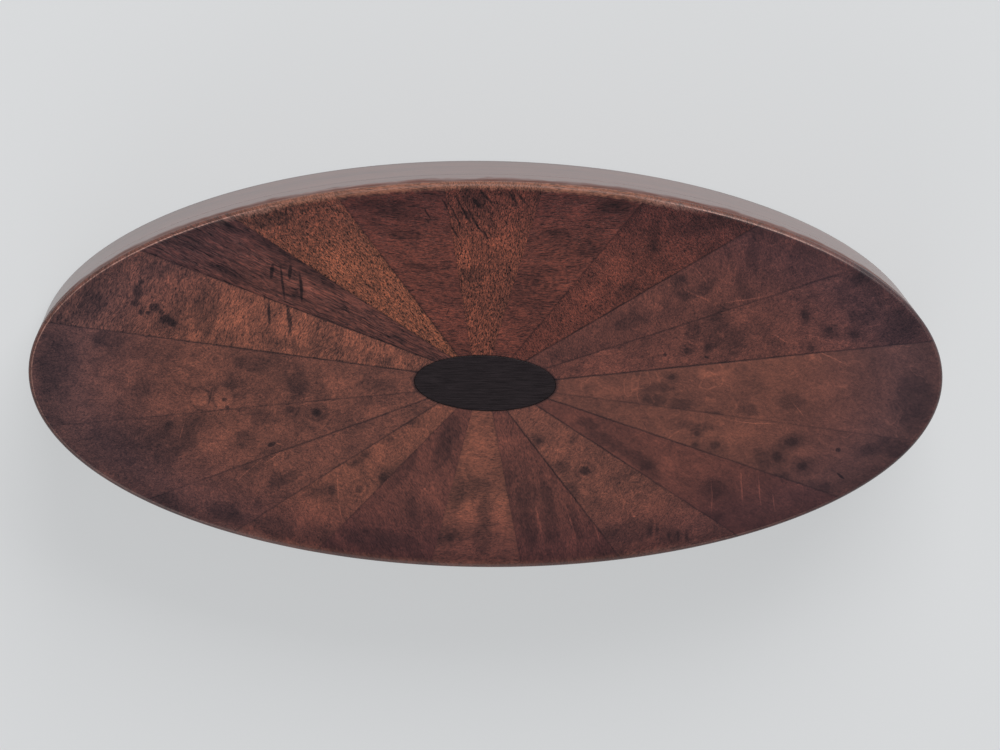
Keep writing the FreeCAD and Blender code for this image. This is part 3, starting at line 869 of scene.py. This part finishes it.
    def marks(self, recipe: Recipe, wedge: Wedge, seed: float, height: float) -> list[Socket]:
        """Return the shades of the eyes, stains, gouges and paler patches, each in its place.

        Args:
            recipe: The material.
            wedge: The wedge's marks.
            seed: What makes this wedge differ.
            height: The height of the face.
        Returns:
            One shade for each mark.
        """
        ragged, crisp, sharp, bent = (
            self.push(recipe, seed, *bend) for bend in (self.ragged, self.crisp, self.sharp, self.bent)
        )
        places = {
            SpotKind.EYE: crisp,
            SpotKind.RING: bent,
            SpotKind.ALMOND: crisp,
            SpotKind.KNOT: sharp,
            SpotKind.GOUGE: bent,
            SpotKind.CRACK: bent,
            SpotKind.SCRATCH: bent,
        }
        return [
            self.mark(recipe, kind, Spot(*row), places.get(kind, ragged), height)
            for kind, rows in wedge.marks.items()
            for row in rows
        ]

    def mark(
        self, recipe: Recipe, kind: SpotKind, spot: Spot, places: Socket, height: float
    ) -> Socket:
        """Return the shade of one mark.

        Args:
            recipe: The material.
            kind: What the mark is.
            spot: Its place and sizes.
            places: The places that it is drawn on.
            height: The height of the face.
        Returns:
            The shade, which is 1 outside the mark.
        """
        add = recipe.add
        out = add("Mapping", {"Vector": places, "Location": (spot.x, spot.y, height),
                              "Rotation": (0.0, 0.0, math.radians(spot.turn)),
                              "Scale": (spot.half_length, spot.half_width, height)}, vector_type="TEXTURE")
        out = add("VectorMath", {0: out}, output="Value", operation="LENGTH")
        tone = add("ValToRGB", {"Fac": out})
        ramp = tone.node.color_ramp
        stops = SPOT_SHADES[kind]
        while len(ramp.elements) < len(stops):
            ramp.elements.new(1.0)
        for element, (share, level) in zip(ramp.elements, stops):
            element.position = share
            element.color = (*[level / SHADE_LIMIT] * 3, 1.0)
        return add("Math", {0: tone, 1: SHADE_LIMIT}, operation="MULTIPLY")

    def glue_lines(
        self, recipe: Recipe, fan: VeneerFan, joints: Sequence[Joint], out: Socket, seed: float
    ) -> list[Socket]:
        """Return the shades of the glue lines along both joints and round the ebony oval.

        Args:
            recipe: The material.
            fan: The fan.
            joints: The two joints.
            out: How far out a place is.
            seed: What makes this wedge differ.
        Returns:
            One shade for each line.
        """
        add = recipe.add
        filled = add("TexNoise", {"Vector": recipe.place, "W": seed, "Scale": self.fills_per_mm,
                                  "Detail": 3.0}, noise_dimensions="4D")
        filled = add("MapRange", {"Value": filled, "From Min": 0.38, "From Max": 0.62, "To Min": 1.0,
                                  "To Max": self.joint_least})
        fade = add("MapRange", {"Value": out, "From Min": 0.5, "From Max": 0.95, "To Min": 1.0,
                                "To Max": self.joint_least})
        filled = add("Math", {0: filled, 1: fade}, operation="MULTIPLY")
        shades = []
        for joint in joints:
            off = add("VectorMath", {0: recipe.place, 1: joint.inner}, operation="SUBTRACT")
            off = add("VectorMath", {0: off, 1: joint.across}, output="Value", operation="DOT_PRODUCT")
            off = add("Math", {0: off}, operation="ABSOLUTE")
            near = add("MapRange", {"Value": off, "From Min": self.joint_core, "From Max": self.joint_width,
                                    "To Min": self.joint_depth * joint.line, "To Max": 0.0})
            near = add("Math", {0: near, 1: filled}, operation="MULTIPLY")
            shades.append(add("Math", {0: 1.0, 1: near}, operation="SUBTRACT"))
        inlay = self.reach(recipe, fan.inlay, fan.top)
        shades.append(add("MapRange", {"Value": inlay, "From Min": 1.01, "From Max": 1.05,
                                       "To Min": self.inlay_line, "To Max": 1.0}))
        return shades

    def reach(self, recipe: Recipe, outline: Oval, height: float) -> Socket:
        """Return how far out a place is, as a share of the way from an oval's middle to the oval.

        Args:
            recipe: The material.
            outline: The oval.
            height: Its height.
        Returns:
            The share.
        """
        out = recipe.add("Mapping", {"Vector": recipe.place, "Location": (outline.x, outline.y, height),
                                     "Rotation": (0.0, 0.0, math.radians(outline.turn)),
                                     "Scale": (outline.length / 2, outline.width / 2, FLAT)},
                         vector_type="TEXTURE")
        return recipe.add("VectorMath", {0: out}, output="Value", operation="LENGTH")

    def tint(self, recipe: Recipe, wedge: Wedge, out: Socket, shade: Socket) -> Socket:
        """Return the shaded wood, darkened towards the rim by dirt and painted shade, and greyed towards the
        oval's two ends by a painted reflection.

        Args:
            recipe: The material.
            wedge: The wedge's tone.
            out: How far out a place is.
            shade: The shade of its figure.
        Returns:
            The colour.
        """
        add = recipe.add
        # Painted reflection: green and blue go with the shade more slowly, so dark figure turns grey
        shades = {axis: add("Math", {0: shade, 1: pace}, operation="POWER")
                  for axis, pace in zip("XYZ", self.sheen_greying)}
        wood = add("VectorMath", {0: from_hex(wedge.tone.value)[:3], 1: add("CombineXYZ", shades)},
                   operation="MULTIPLY")
        # Dirt and painted shade darken the rim along the sides; a painted grey reflection lies over the oval's
        # two ends
        end = add("SeparateXYZ", {"Vector": recipe.place}, output="X")
        end = add("Math", {0: end}, operation="ABSOLUTE")
        end = add("MapRange", {"Value": end, "From Min": self.ends_from, "From Max": self.ends_to})
        wear_and_painted_light = add("Mix", {"Factor": end, "A": self.rim_grime_and_shade, "B": self.end_painted_sheen}, data_type="VECTOR")
        near = add("MapRange", {"Value": out, "From Min": self.rim_dark_from, "From Max": self.rim_dark_to},
                   interpolation_type="SMOOTHSTEP")
        wear_and_painted_light = add("Mix", {"Factor": near, "A": (1.0, 1.0, 1.0), "B": wear_and_painted_light}, data_type="VECTOR")
        wood = add("VectorMath", {0: wood, 1: wear_and_painted_light}, operation="MULTIPLY")
        # A darker band just inside the arris
        darkening = add("MapRange", {"Value": out, "From Min": self.edge_dark_from, "From Max": self.rim_dark_to,
                                 "To Min": 1.0, "To Max": self.edge_dark_shade})
        return add("VectorMath", {"Vector": wood, "Scale": darkening}, operation="SCALE")

    def wear_rim_and_highlight(self, recipe: Recipe, fan: VeneerFan, out: Socket, seed: float) -> tuple[Socket, Socket]:
        """Return how far the rim is rubbed bare, most along the front, and the colour of the bare wood, whose
        pale edge is partly a painted highlight.

        Args:
            recipe: The material.
            fan: The fan.
            out: How far out a place is.
            seed: What makes this wedge differ.
        Returns:
            A share from 0 to 1, and the colour.
        """
        add = recipe.add
        place = add("SeparateXYZ", {"Vector": recipe.place}).node.outputs
        # The rubbed colour and its painted highlight are full along the front and fade towards the hinge side
        front_wear_and_highlight = add("MapRange", {"Value": place["Y"], "From Min": -fan.outline.width / 2,
                                   "From Max": fan.outline.width / 4, "To Min": 1.0,
                                   "To Max": self.hinge_side_wear_and_highlight})
        patchy = add("TexNoise", {"Vector": recipe.place, "W": seed, "Scale": self.patches_per_mm,
                                  "Detail": 4.0, "Roughness": 0.75}, noise_dimensions="4D")
        edge, low = (
            add("MapRange", {"Value": place["Z"], "From Min": fan.top - begin, "From Max": fan.top - full})
            for begin, full in (self.edge_depths, self.brown_depths)
        )
        tight = add("MapRange", {"Value": patchy, "From Min": 0.3, "From Max": 0.5, "To Min": 0.45})
        edge = add("Math", {0: edge, 1: tight}, operation="MULTIPLY")
        middle = add("Math", {0: place["X"], 1: self.tan_middle}, operation="SUBTRACT")
        middle = add("Math", {0: middle}, operation="ABSOLUTE")
        middle = add("MapRange", {"Value": middle, "From Min": self.tan_reach - self.tan_fade,
                                  "From Max": self.tan_reach + self.tan_fade, "To Min": 1.0, "To Max": 0.0})
        # The tan runs a little way in over the flat, with a ragged border
        ragged = add("Math", {0: patchy, 1: self.tan_border}, operation="MULTIPLY")
        ragged = add("Math", {0: out, 1: ragged}, operation="ADD")
        inside = add("MapRange", {"Value": ragged, "From Min": self.tan_from, "From Max": 1.0})
        inside = add("Math", {0: inside, 1: middle}, operation="MULTIPLY")
        rubbed = add("Math", {0: edge, 1: inside}, operation="MAXIMUM")
        held = add("MapRange", {"Value": place["X"], "From Min": self.kept_from, "From Max": self.kept_to,
                                "To Min": self.kept_wear_and_highlight})
        for share in (front_wear_and_highlight, held):
            rubbed = add("Math", {0: rubbed, 1: share}, operation="MULTIPLY")
        # Pale edge over brown: the pale edge is partly a painted highlight
        wear_and_painted_light = add("Mix", {"Factor": low, "A": from_hex(self.worn_edge_and_highlight), "B": from_hex(self.worn_brown)},
                   data_type="RGBA")
        wear_and_painted_light = add("Mix", {"Factor": middle, "A": wear_and_painted_light, "B": from_hex(self.worn_tan)}, data_type="RGBA")
        return rubbed, wear_and_painted_light

    def seam(self, recipe: Recipe, fan: VeneerFan) -> Socket:
        """Return the shade of the dark line where the fan meets the side veneer.

        Args:
            recipe: The material.
            fan: The fan.
        Returns:
            The shade.
        """
        height = recipe.add("SeparateXYZ", {"Vector": recipe.place}, output="Z")
        return recipe.add("MapRange", {"Value": height, "From Min": fan.bottom + self.seam_core,
                                       "From Max": fan.bottom + self.seam_height,
                                       "To Min": self.seam_shade, "To Max": 1.0})


@dataclass(frozen=True)
class PoredWood:
    """Solid wood whose pores run along its length: their length, width and height, contrast and depth."""

    name: str
    dark: str
    light: str
    roughness: float
    pores: tuple[float, float, float]
    detail: float
    contrast: tuple[float, float]
    pore_depth: float
    specular: float = 0.3
    bump_strength: float = 0.4

    def mix(self) -> bpy.types.Material:
        """Mix the material.

        Returns:
            The material.
        """
        recipe = Recipe(self.name, Roughness=self.roughness, Specular_IOR_Level=self.specular)
        add = recipe.add
        low, high = self.contrast
        pores = add("Mapping", {"Vector": recipe.place, "Scale": self.pores}, vector_type="TEXTURE")
        pores = add("TexNoise", {"Vector": pores, "Scale": 1.0, "Detail": self.detail, "Roughness": 0.7})
        pores = add("MapRange", {"Value": pores, "From Min": low, "From Max": high})
        wood = add("Mix", {"Factor": pores, "A": from_hex(self.dark), "B": from_hex(self.light)},
                   data_type="RGBA")
        bump = add("Bump", {"Height": pores, "Strength": self.bump_strength,
                            "Distance": self.pore_depth * MM})
        return recipe.wear({"Base Color": wood, "Normal": bump})


# Ebony, polished: almost black, with fine pores along its length that catch a little light
EBONY = PoredWood("ebony", "1a1417", "2e2629", 0.42, (2.4, 0.12, 1.0), 3.0, (0.35, 0.65), 0.02)
# Bare mahogany, aged and handled: matt mid-brown with open pores along its length
CARCASS_WOOD = PoredWood("bare_mahogany", "6b4028", "9a6644", 0.68, (3.0, 0.18, 0.18), 4.0, (0.3, 0.7), 0.04)


@dataclass(frozen=True)
class PlainVeneer:
    """Straight-grained veneer under a full French polish: a brown band that mirrors what is beside it.

    The polish is rubbed thin towards the lid's face, and painted shade darkens it round the underside.
    """

    dark: str = "482823"
    light: str = "74453a"
    rubbed: str = "6e3b2e"
    streak_length: float = 26.0
    streak_width: float = 0.6
    pore_length: float = 2.4
    pore_width: float = 0.10
    pores: float = 0.45
    rubbed_from: float = 14.2
    rubbed_to: float = 17.2
    rubbed_patch: float = 3.0
    rubbed_colour_share: float = 0.55
    foot_height: float = 0.9
    foot_wear: float = 0.4
    bottom_shade_height: float = 1.6
    bottom_shade: float = 0.5
    roughness: float = 0.3
    rubbed_roughness: float = 0.95
    specular: float = 0.42
    polish: float = 0.21
    polish_roughness: float = 0.16

    def mix(self) -> bpy.types.Material:
        """Mix the material.

        Returns:
            The material.
        """
        recipe = Recipe(
            "plain_veneer", Coat_Roughness=self.polish_roughness, Specular_IOR_Level=self.specular
        )
        add = recipe.add
        streaks = add("Mapping", {"Vector": recipe.place,
                                  "Scale": (self.streak_length, self.streak_length, self.streak_width)},
                      vector_type="TEXTURE")
        streaks = add("TexNoise", {"Vector": streaks, "Scale": 1.0, "Detail": 4.0, "Roughness": 0.65})
        streaks = add("MapRange", {"Value": streaks, "From Min": 0.3, "From Max": 0.7})
        wood = add("Mix", {"Factor": streaks, "A": from_hex(self.dark), "B": from_hex(self.light)},
                   data_type="RGBA")
        pores = add("Mapping", {"Vector": recipe.place,
                                "Scale": (self.pore_length, self.pore_length, self.pore_width)},
                    vector_type="TEXTURE")
        pores = add("TexNoise", {"Vector": pores, "Scale": 1.0, "Detail": 2.0, "Roughness": 0.6})
        pores = add("MapRange", {"Value": pores, "From Min": 0.5, "From Max": 0.66, "To Min": 1.08,
                                 "To Max": 1 - self.pores})
        wood = add("VectorMath", {"Vector": wood, "Scale": pores}, operation="SCALE")
        height = add("SeparateXYZ", {"Vector": recipe.place}, output="Z")
        ragged = add("TexNoise", {"Vector": recipe.place, "Scale": 1 / self.rubbed_patch, "Detail": 4.0})
        ragged = add("MapRange", {"Value": ragged, "From Min": 0.3, "From Max": 0.7, "To Min": -1.0})
        ragged = add("Math", {0: height, 1: ragged}, operation="ADD")
        thin = add("MapRange", {"Value": ragged, "From Min": self.rubbed_from, "From Max": self.rubbed_to})
        foot = add("MapRange", {"Value": height, "From Max": self.foot_height, "To Min": self.foot_wear,
                                "To Max": 0.0})
        thin = add("Math", {0: thin, 1: foot}, operation="MAXIMUM")
        bare = add("Math", {0: thin, 1: self.rubbed_colour_share}, operation="MULTIPLY")
        wood = add("Mix", {"Factor": bare, "A": wood, "B": from_hex(self.rubbed)}, data_type="RGBA")
        # Painted shade: darker towards the underside
        darkening = add("MapRange", {"Value": height, "From Max": self.bottom_shade_height, "To Min": self.bottom_shade,
                                 "To Max": 1.0})
        wood = add("VectorMath", {"Vector": wood, "Scale": darkening}, operation="SCALE")
        rough = add("MapRange", {"Value": thin, "To Min": self.roughness, "To Max": self.rubbed_roughness})
        coat = add("MapRange", {"Value": thin, "To Min": self.polish, "To Max": 0.0})
        bump = add("Bump", {"Height": streaks, "Strength": 0.1, "Distance": 0.01 * MM})
        return recipe.wear({"Base Color": wood, "Roughness": rough, "Coat Weight": coat, "Normal": bump})


@dataclass(frozen=True)
class Horn:
    """Pressed and polished horn: warm brown with soft honey-coloured clouds and a wet gloss."""

    dark: str = "3a2415"
    light: str = "8a5c30"
    cloud_size: float = 9.0

    def mix(self) -> bpy.types.Material:
        """Mix the material.

        Returns:
            The material.
        """
        recipe = Recipe("polished_horn", Roughness=0.28, Coat_Weight=0.4, Coat_Roughness=0.1)
        add = recipe.add
        clouds = add("Mapping", {"Vector": recipe.place, "Scale": (3.0, 1.0, 1.0)}, vector_type="TEXTURE")
        clouds = add("TexNoise", {"Vector": clouds, "Scale": 1 / self.cloud_size, "Detail": 5.0,
                                  "Roughness": 0.55, "Distortion": 1.2})
        clouds = add("MapRange", {"Value": clouds, "From Min": 0.32, "From Max": 0.68})
        horn = add("Mix", {"Factor": clouds, "A": from_hex(self.dark), "B": from_hex(self.light)},
                   data_type="RGBA")
        return recipe.wear({"Base Color": horn})


@dataclass(frozen=True)
class AgedBrass:
    """Rolled brass, tarnished: yellow where it is rubbed and brown in between."""

    bright: str = "b08c4e"
    tarnish: str = "5c4426"
    patch_size: float = 1.2

    def mix(self) -> bpy.types.Material:
        """Mix the material.

        Returns:
            The material.
        """
        recipe = Recipe("aged_brass", Metallic=1.0)
        add = recipe.add
        patches = add("TexNoise", {"Vector": recipe.place, "Scale": 1 / self.patch_size, "Detail": 5.0,
                                   "Roughness": 0.65})
        patches = add("MapRange", {"Value": patches, "From Min": 0.35, "From Max": 0.7})
        metal = add("Mix", {"Factor": patches, "A": from_hex(self.bright), "B": from_hex(self.tarnish)},
                    data_type="RGBA")
        rough = add("MapRange", {"Value": patches, "To Min": 0.28, "To Max": 0.5})
        return recipe.wear({"Base Color": metal, "Roughness": rough})


@dataclass
class VeneerFan:
    """The lid's face: burr wedges round an ebony oval.

    Each joint is a share of a turn on the ebony oval, one on the rim, and how dark its glue line is.
    """

    inlay: Oval = Oval(14.84, 5.86, x=0.2, y=0.7, turn=-1.5)
    glue_line: float = 0.03
    arris: float = 0.6
    arris_steps: int = 6
    # What lies further out than this share of the way is on the arris
    arris_share: float = 0.99
    inlay_ease: float = 0.04
    joints: tuple[tuple[float, float, float], ...] = (
        (0.063, 0.045, 0.60),
        (0.106, 0.115, 0.80),
        (0.140, 0.156, 0.70),
        (0.188, 0.189, 0.50),
        (0.224, 0.231, 0.12),
        (0.268, 0.263, 0.40),
        (0.301, 0.299, 1.00),
        (0.376, 0.345, 0.85),
        (0.422, 0.394, 0.85),
        (0.459, 0.449, 0.45),
        (0.534, 0.533, 1.00),
        (0.598, 0.599, 0.65),
        (0.658, 0.649, 1.00),
        (0.692, 0.694, 0.65),
        (0.738, 0.731, 0.20),
        (0.783, 0.766, 0.20),
        (0.814, 0.805, 0.75),
        (0.830, 0.846, 0.65),
        (0.874, 0.889, 0.90),
        (0.948, 0.958, 1.00),
    )
    outline: Oval = field(init=False)
    bottom: float = field(init=False)
    top: float = field(init=False)

    def __post_init__(self) -> None:
        """Take the fan's outline and heights from the frame."""
        self.outline = Oval.of_node("base_veneer")
        low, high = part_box("face_centre_oval")
        self.bottom, self.top = low.z / MM, high.z / MM

    def joint(self, number: int) -> Joint:
        """Return a joint of the fan.

        Args:
            number: The joint's number, which starts again after the last.
        Returns:
            The joint, whose direction across points towards the next one.
        """
        inner_share, rim_share, line = self.joints[number % len(self.joints)]
        inner = self.inlay.at_share(inner_share)
        along = self.outline.at_share(rim_share) - inner
        return Joint(inner, Vector((-along.y, along.x, 0.0)).normalized(), line)

    def build(self) -> None:
        """Make the wedges and the ebony oval."""
        hole = self.inlay.inset(-self.glue_line)
        blank = raise_oval("fan_blank", (self.outline, hole), self.bottom, self.top)
        ease_edges(
            blank,
            lambda end: end.z > self.top - WELD and self.outline.reach(end) > self.arris_share,
            self.arris,
            self.arris_steps,
        )
        for number, wedge in enumerate(WEDGES, start=1):
            self.saw_wedge(blank, number, wedge)
        bpy.data.meshes.remove(blank.data)
        ebony = raise_oval("ebony_oval", (self.inlay,), self.bottom, self.top)
        ease_edges(ebony, lambda end: end.z > self.top - WELD, self.inlay_ease, 1)
        hand_over(ebony, "lid", "face_centre_oval", EBONY.mix())

    def saw_wedge(self, blank: bpy.types.Object, number: int, wedge: Wedge) -> None:
        """Saw one wedge out of a copy of the whole fan and dress it.

        Args:
            blank: The whole fan.
            number: The wedge's number.
            wedge: Its figure.
        """
        piece = copy_piece(blank, f"burr_wedge_{number:02d}")
        joints = self.joint(number - 1), self.joint(number)
        start, end = joints
        chord = end.inner - start.inner
        keep_side(piece, start.inner, start.across)
        keep_side(piece, end.inner, -end.across)
        keep_side(piece, start.inner, Vector((chord.y, -chord.x, 0.0)).normalized())
        burr = BurrVeneer().mix(number, wedge, self, joints)
        hand_over(piece, "lid", f"face_wedge_{number:02d}", burr)


@dataclass
class Shell:
    """The walls, boards, linings and side veneers of the lid and the base."""

    side_veneer: float = 0.8
    strip_joint: float = 2.0
    underside_arris: float = 0.4
    underside_steps: int = 4
    lip_arris: float = 0.2
    lip_steps: int = 3
    lining: float = 0.7
    lid_wall: float = 2.95
    base_wall: float = 3.17
    groove_radius: float = 1.245
    groove_sides: int = 96
    seat_depth: float = 0.5
    knuckle_gap: float = 0.15
    seam_gap: float = 0.05

    def build(self) -> None:
        """Make the veneers, walls and linings, and dress the boards."""
        self.make_side_veneers()
        self.make_underside()
        self.make_walls()
        self.make_linings()
        wood = CARCASS_WOOD.mix()
        for node in ("lid_board", "base_board"):
            dress_node(node, wood)

    def seam_height(self) -> float:
        """Return the height of the seam between lid and base, in metres."""
        return sum(corner.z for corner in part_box("hinge_pin")) / 2

    def hinge_groove(self) -> bpy.types.Object:
        """Make a cutter for the round groove that the hinge barrel turns in.

        Returns:
            The cutter.
        """
        low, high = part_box("hinge_pin")
        middle = (low + high) / 2
        bpy.ops.object.select_all(action="DESELECT")
        bpy.ops.mesh.primitive_cylinder_add(
            vertices=self.groove_sides,
            radius=self.groove_radius * MM,
            depth=high.x - low.x + 2 * self.knuckle_gap * MM,
            location=middle,
            rotation=(0.0, math.radians(90), 0.0),
        )
        return bpy.context.active_object

    def leaf_seat(self, node: str) -> bpy.types.Object:
        """Make a cutter for the shallow seat that a hinge leaf is let into.

        Args:
            node: The leaf's CAD node.
        Returns:
            The cutter.
        """
        low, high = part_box(node)
        seam = self.seam_height()
        depth = self.seat_depth * MM
        rise = depth if node == "hinge_lid_leaf" else -depth
        middle = Vector(((low.x + high.x) / 2, (low.y + high.y) / 2, seam + rise / 2))
        bpy.ops.object.select_all(action="DESELECT")
        bpy.ops.mesh.primitive_cube_add(
            size=1.0, location=middle, scale=(high.x - low.x, high.y - low.y, depth)
        )
        return bpy.context.active_object

    def make_side_veneers(self) -> None:
        """Wrap the lid and the base in two strips each, which meet near the oval's ends."""
        veneer = PlainVeneer().mix()
        outline = Oval.of_node("base_veneer")
        outlines = outline, outline.inset(self.side_veneer)
        joint = Vector((0.0, self.strip_joint, 0.0))
        for body in ("lid", "base"):
            for side, towards in (("front", -1.0), ("back", 1.0)):
                node = f"{body}_side_veneer_{side}"
                low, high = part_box(node)
                seam = self.seam_height() / MM
                bottom = seam + self.seam_gap / 2 if body == "lid" else low.z / MM
                top = high.z / MM if body == "lid" else seam - self.seam_gap / 2
                strip = raise_oval(f"{body}_veneer_{side}", outlines, bottom, top)
                keep_side(strip, joint, Vector((0.0, towards, 0.0)))
                if side == "back":
                    cut_away(strip, self.hinge_groove())
                hand_over(strip, body, node, veneer)

    def make_underside(self) -> None:
        """Make the veneer of the underside, with its rounded edge."""
        low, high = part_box("base_veneer")
        sheet = raise_oval("underside_veneer", (Oval.of_node("base_veneer"),), low.z / MM, high.z / MM)
        ease_edges(sheet, lambda end: end.z < low.z / MM + WELD, self.underside_arris, self.underside_steps)
        hand_over(sheet, "base", "base_veneer", PlainVeneer().mix())

    def make_walls(self) -> None:
        """Make the rings of carcass wood, grooved and let in for the hinge."""
        wood = CARCASS_WOOD.mix()
        walls = ("lid_rim", "lid", self.lid_wall), ("base_wall", "base", self.base_wall)
        for node, body, thickness in walls:
            low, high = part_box(node)
            outline = Oval.of_node(node)
            ring = raise_oval(f"{body}_ring", (outline, outline.inset(thickness)), low.z / MM, high.z / MM)
            cut_away(ring, self.hinge_groove())
            cut_away(ring, self.leaf_seat(f"hinge_{body}_leaf"))
            hand_over(ring, body, node, wood)

    def make_linings(self) -> None:
        """Make the horn lining of the well and of the lid."""
        horn = Horn().mix()
        for node, body in (("lid_lining", "lid"), ("lining_floor", "base")):
            low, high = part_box(node)
            sheet = raise_oval(f"{body}_horn_sheet", (Oval.of_node(node),), low.z / MM, high.z / MM)
            hand_over(sheet, body, node, horn)
        low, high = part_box("lining_wall")
        outline = Oval.of_node("lining_wall")
        wall = raise_oval("base_horn_wall", (outline, outline.inset(self.lining)), low.z / MM, high.z / MM)
        ease_edges(wall, lambda end: end.z > high.z / MM - WELD, self.lip_arris, self.lip_steps)
        hand_over(wall, "base", "lining_wall", horn)


def dress_node(node: str, finish: bpy.types.Material) -> None:
    """Give a CAD node that stays its material.

    Args:
        node: The node's name.
        finish: Its material.
    """
    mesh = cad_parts[node].data
    mesh.materials.clear()
    mesh.materials.append(finish)
    LOG.info("%s is dressed in %s", node, finish.name)


@dataclass
class Hinge:
    """The brass hinge, whose leaves, nails and pin are right as they come."""

    nodes: tuple[str, ...] = (
        "hinge_lid_leaf", "hinge_lid_nails", "hinge_base_leaf", "hinge_base_nails", "hinge_pin"
    )

    def build(self) -> None:
        """Dress the hinge in aged brass."""
        brass = AgedBrass().mix()
        for node in self.nodes:
            dress_node(node, brass)


@dataclass
class Studio:
    """The pale floor, the soft light and the camera."""

    floor_colour: str = "8c8c8d"
    floor_glow: str = "b4b6b7"
    floor_reach: float = 6000.0
    floor_gap: float = 0.02
    world_colour: str = "e8e9eb"
    world_strength: float = 0.42
    horizon: tuple[float, float] = (0.02, 0.4)
    horizon_strength: float = 0.75
    overhead_strength: float = 0.08
    key_power: float = 8.5
    key_size: float = 700.0
    key_place: tuple[float, float, float] = (-200.0, -750.0, 560.0)
    fill_power: float = 2.5
    fill_size: float = 800.0
    fill_place: tuple[float, float, float] = (250.0, 900.0, 420.0)
    lens: float = 162.0
    sensor: float = 36.0
    nearest: float = 10.0
    target: tuple[float, float, float] = (-1.64, 1.39, 9.0)
    distance: float = 481.0
    lean: float = 9.93
    swing: float = 1.83
    roll: float = 0.84

    def build(self) -> None:
        """Set up the floor, the lamps, the world and the camera."""
        self.lay_floor()
        self.hang_lamp("key", self.key_place, self.key_size, self.key_power)
        self.hang_lamp("fill", self.fill_place, self.fill_size, self.fill_power)
        self.set_world()
        self.set_camera()
        bpy.context.scene.view_settings.view_transform = "Standard"

    def lay_floor(self) -> None:
        """Lay the pale floor that the box lies on."""
        bpy.ops.object.select_all(action="DESELECT")
        bpy.ops.mesh.primitive_plane_add(
            size=2 * self.floor_reach * MM, location=(0.0, 0.0, -self.floor_gap * MM)
        )
        floor = bpy.context.active_object
        floor.name = "floor"
        # Paper under a bright sky: what looks at it or mirrors it sees it pale, with a light shadow
        recipe = Recipe("pale_paper", Roughness=0.9, Specular_IOR_Level=0.1)
        recipe.shader.inputs["Base Color"].default_value = from_hex(self.floor_colour)
        recipe.shader.inputs["Emission Color"].default_value = from_hex(self.floor_glow)
        recipe.wear({"Emission Strength": self.seen(recipe.add)})
        floor.data.materials.append(recipe.material)

    def seen(self, add: Adder) -> Socket:
        """Return 1 for what looks at a surface, mirrors it or shows it through, and 0 for what is lit by it.

        Args:
            add: What adds a node to the material or the world.
        Returns:
            The switch.
        """
        kinds = "Camera", "Glossy", "Transmission"
        looks, mirrors, shows = (add("LightPath", {}, output=f"Is {kind} Ray") for kind in kinds)
        either = add("Math", {0: looks, 1: mirrors}, operation="MAXIMUM")
        return add("Math", {0: either, 1: shows}, operation="MAXIMUM")

    def hang_lamp(self, name: str, place: tuple[float, float, float], size: float, power: float) -> None:
        """Hang a soft square lamp that faces the box.

        Args:
            name: The lamp's name.
            place: Where it hangs.
            size: The length of its side.
            power: Its power in watts.
        """
        bpy.ops.object.light_add(type="AREA", location=Vector(place) * MM)
        lamp = bpy.context.active_object
        lamp.name = name
        lamp.rotation_euler = (-Vector(place)).to_track_quat("-Z", "Y").to_euler()
        lamp.data.size = size * MM
        lamp.data.energy = power

    def set_world(self) -> None:
        """Light the scene from all round, with a paler backdrop for what looks at it or mirrors it."""
        world = bpy.data.worlds.new("studio")
        bpy.context.scene.world = world
        world.use_nodes = True
        add = partial(add_node, world.node_tree)
        background = world.node_tree.nodes["Background"]
        background.inputs["Color"].default_value = from_hex(self.world_colour)
        low, high = self.horizon
        height = add("SeparateXYZ", {"Vector": add("TexCoord", {}, output="Generated")}, output="Z")
        view = add("MapRange", {"Value": height, "From Min": low, "From Max": high,
                                "To Min": self.horizon_strength, "To Max": self.overhead_strength})
        strength = add("MapRange", {"Value": self.seen(add), "To Min": self.world_strength, "To Max": view})
        world.node_tree.links.new(strength, background.inputs["Strength"])

    def set_camera(self) -> None:
        """Look down on the lid's face from a little in front, with the hinge side at the bottom."""
        lean, swing, roll = (math.radians(angle) for angle in (self.lean, self.swing, self.roll))
        back = Vector((math.sin(swing) * math.cos(lean), -math.sin(lean), math.cos(swing) * math.cos(lean)))
        right = (-back).cross(Vector((0.0, -1.0, 0.0))).normalized()
        up = right.cross(-back)
        turned_right = right * math.cos(roll) + up * math.sin(roll)
        turned_up = up * math.cos(roll) - right * math.sin(roll)
        bpy.ops.object.camera_add()
        camera = bpy.context.active_object
        camera.name = "camera"
        place = (Vector(self.target) + back * self.distance) * MM
        facing = Matrix((turned_right, turned_up, back)).transposed().to_4x4()
        camera.matrix_world = Matrix.Translation(place) @ facing
        camera.data.lens = self.lens
        camera.data.sensor_width = self.sensor
        camera.data.clip_start = self.nearest * MM
        bpy.context.scene.camera = camera


def main() -> None:
    """Build every sub-assembly."""
    logging.basicConfig(level=logging.INFO, format="%(message)s")
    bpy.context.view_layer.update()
    for assembly in (VeneerFan(), Shell(), Hinge(), Studio()):
        assembly.build()


if __name__ == "__main__":
    main()
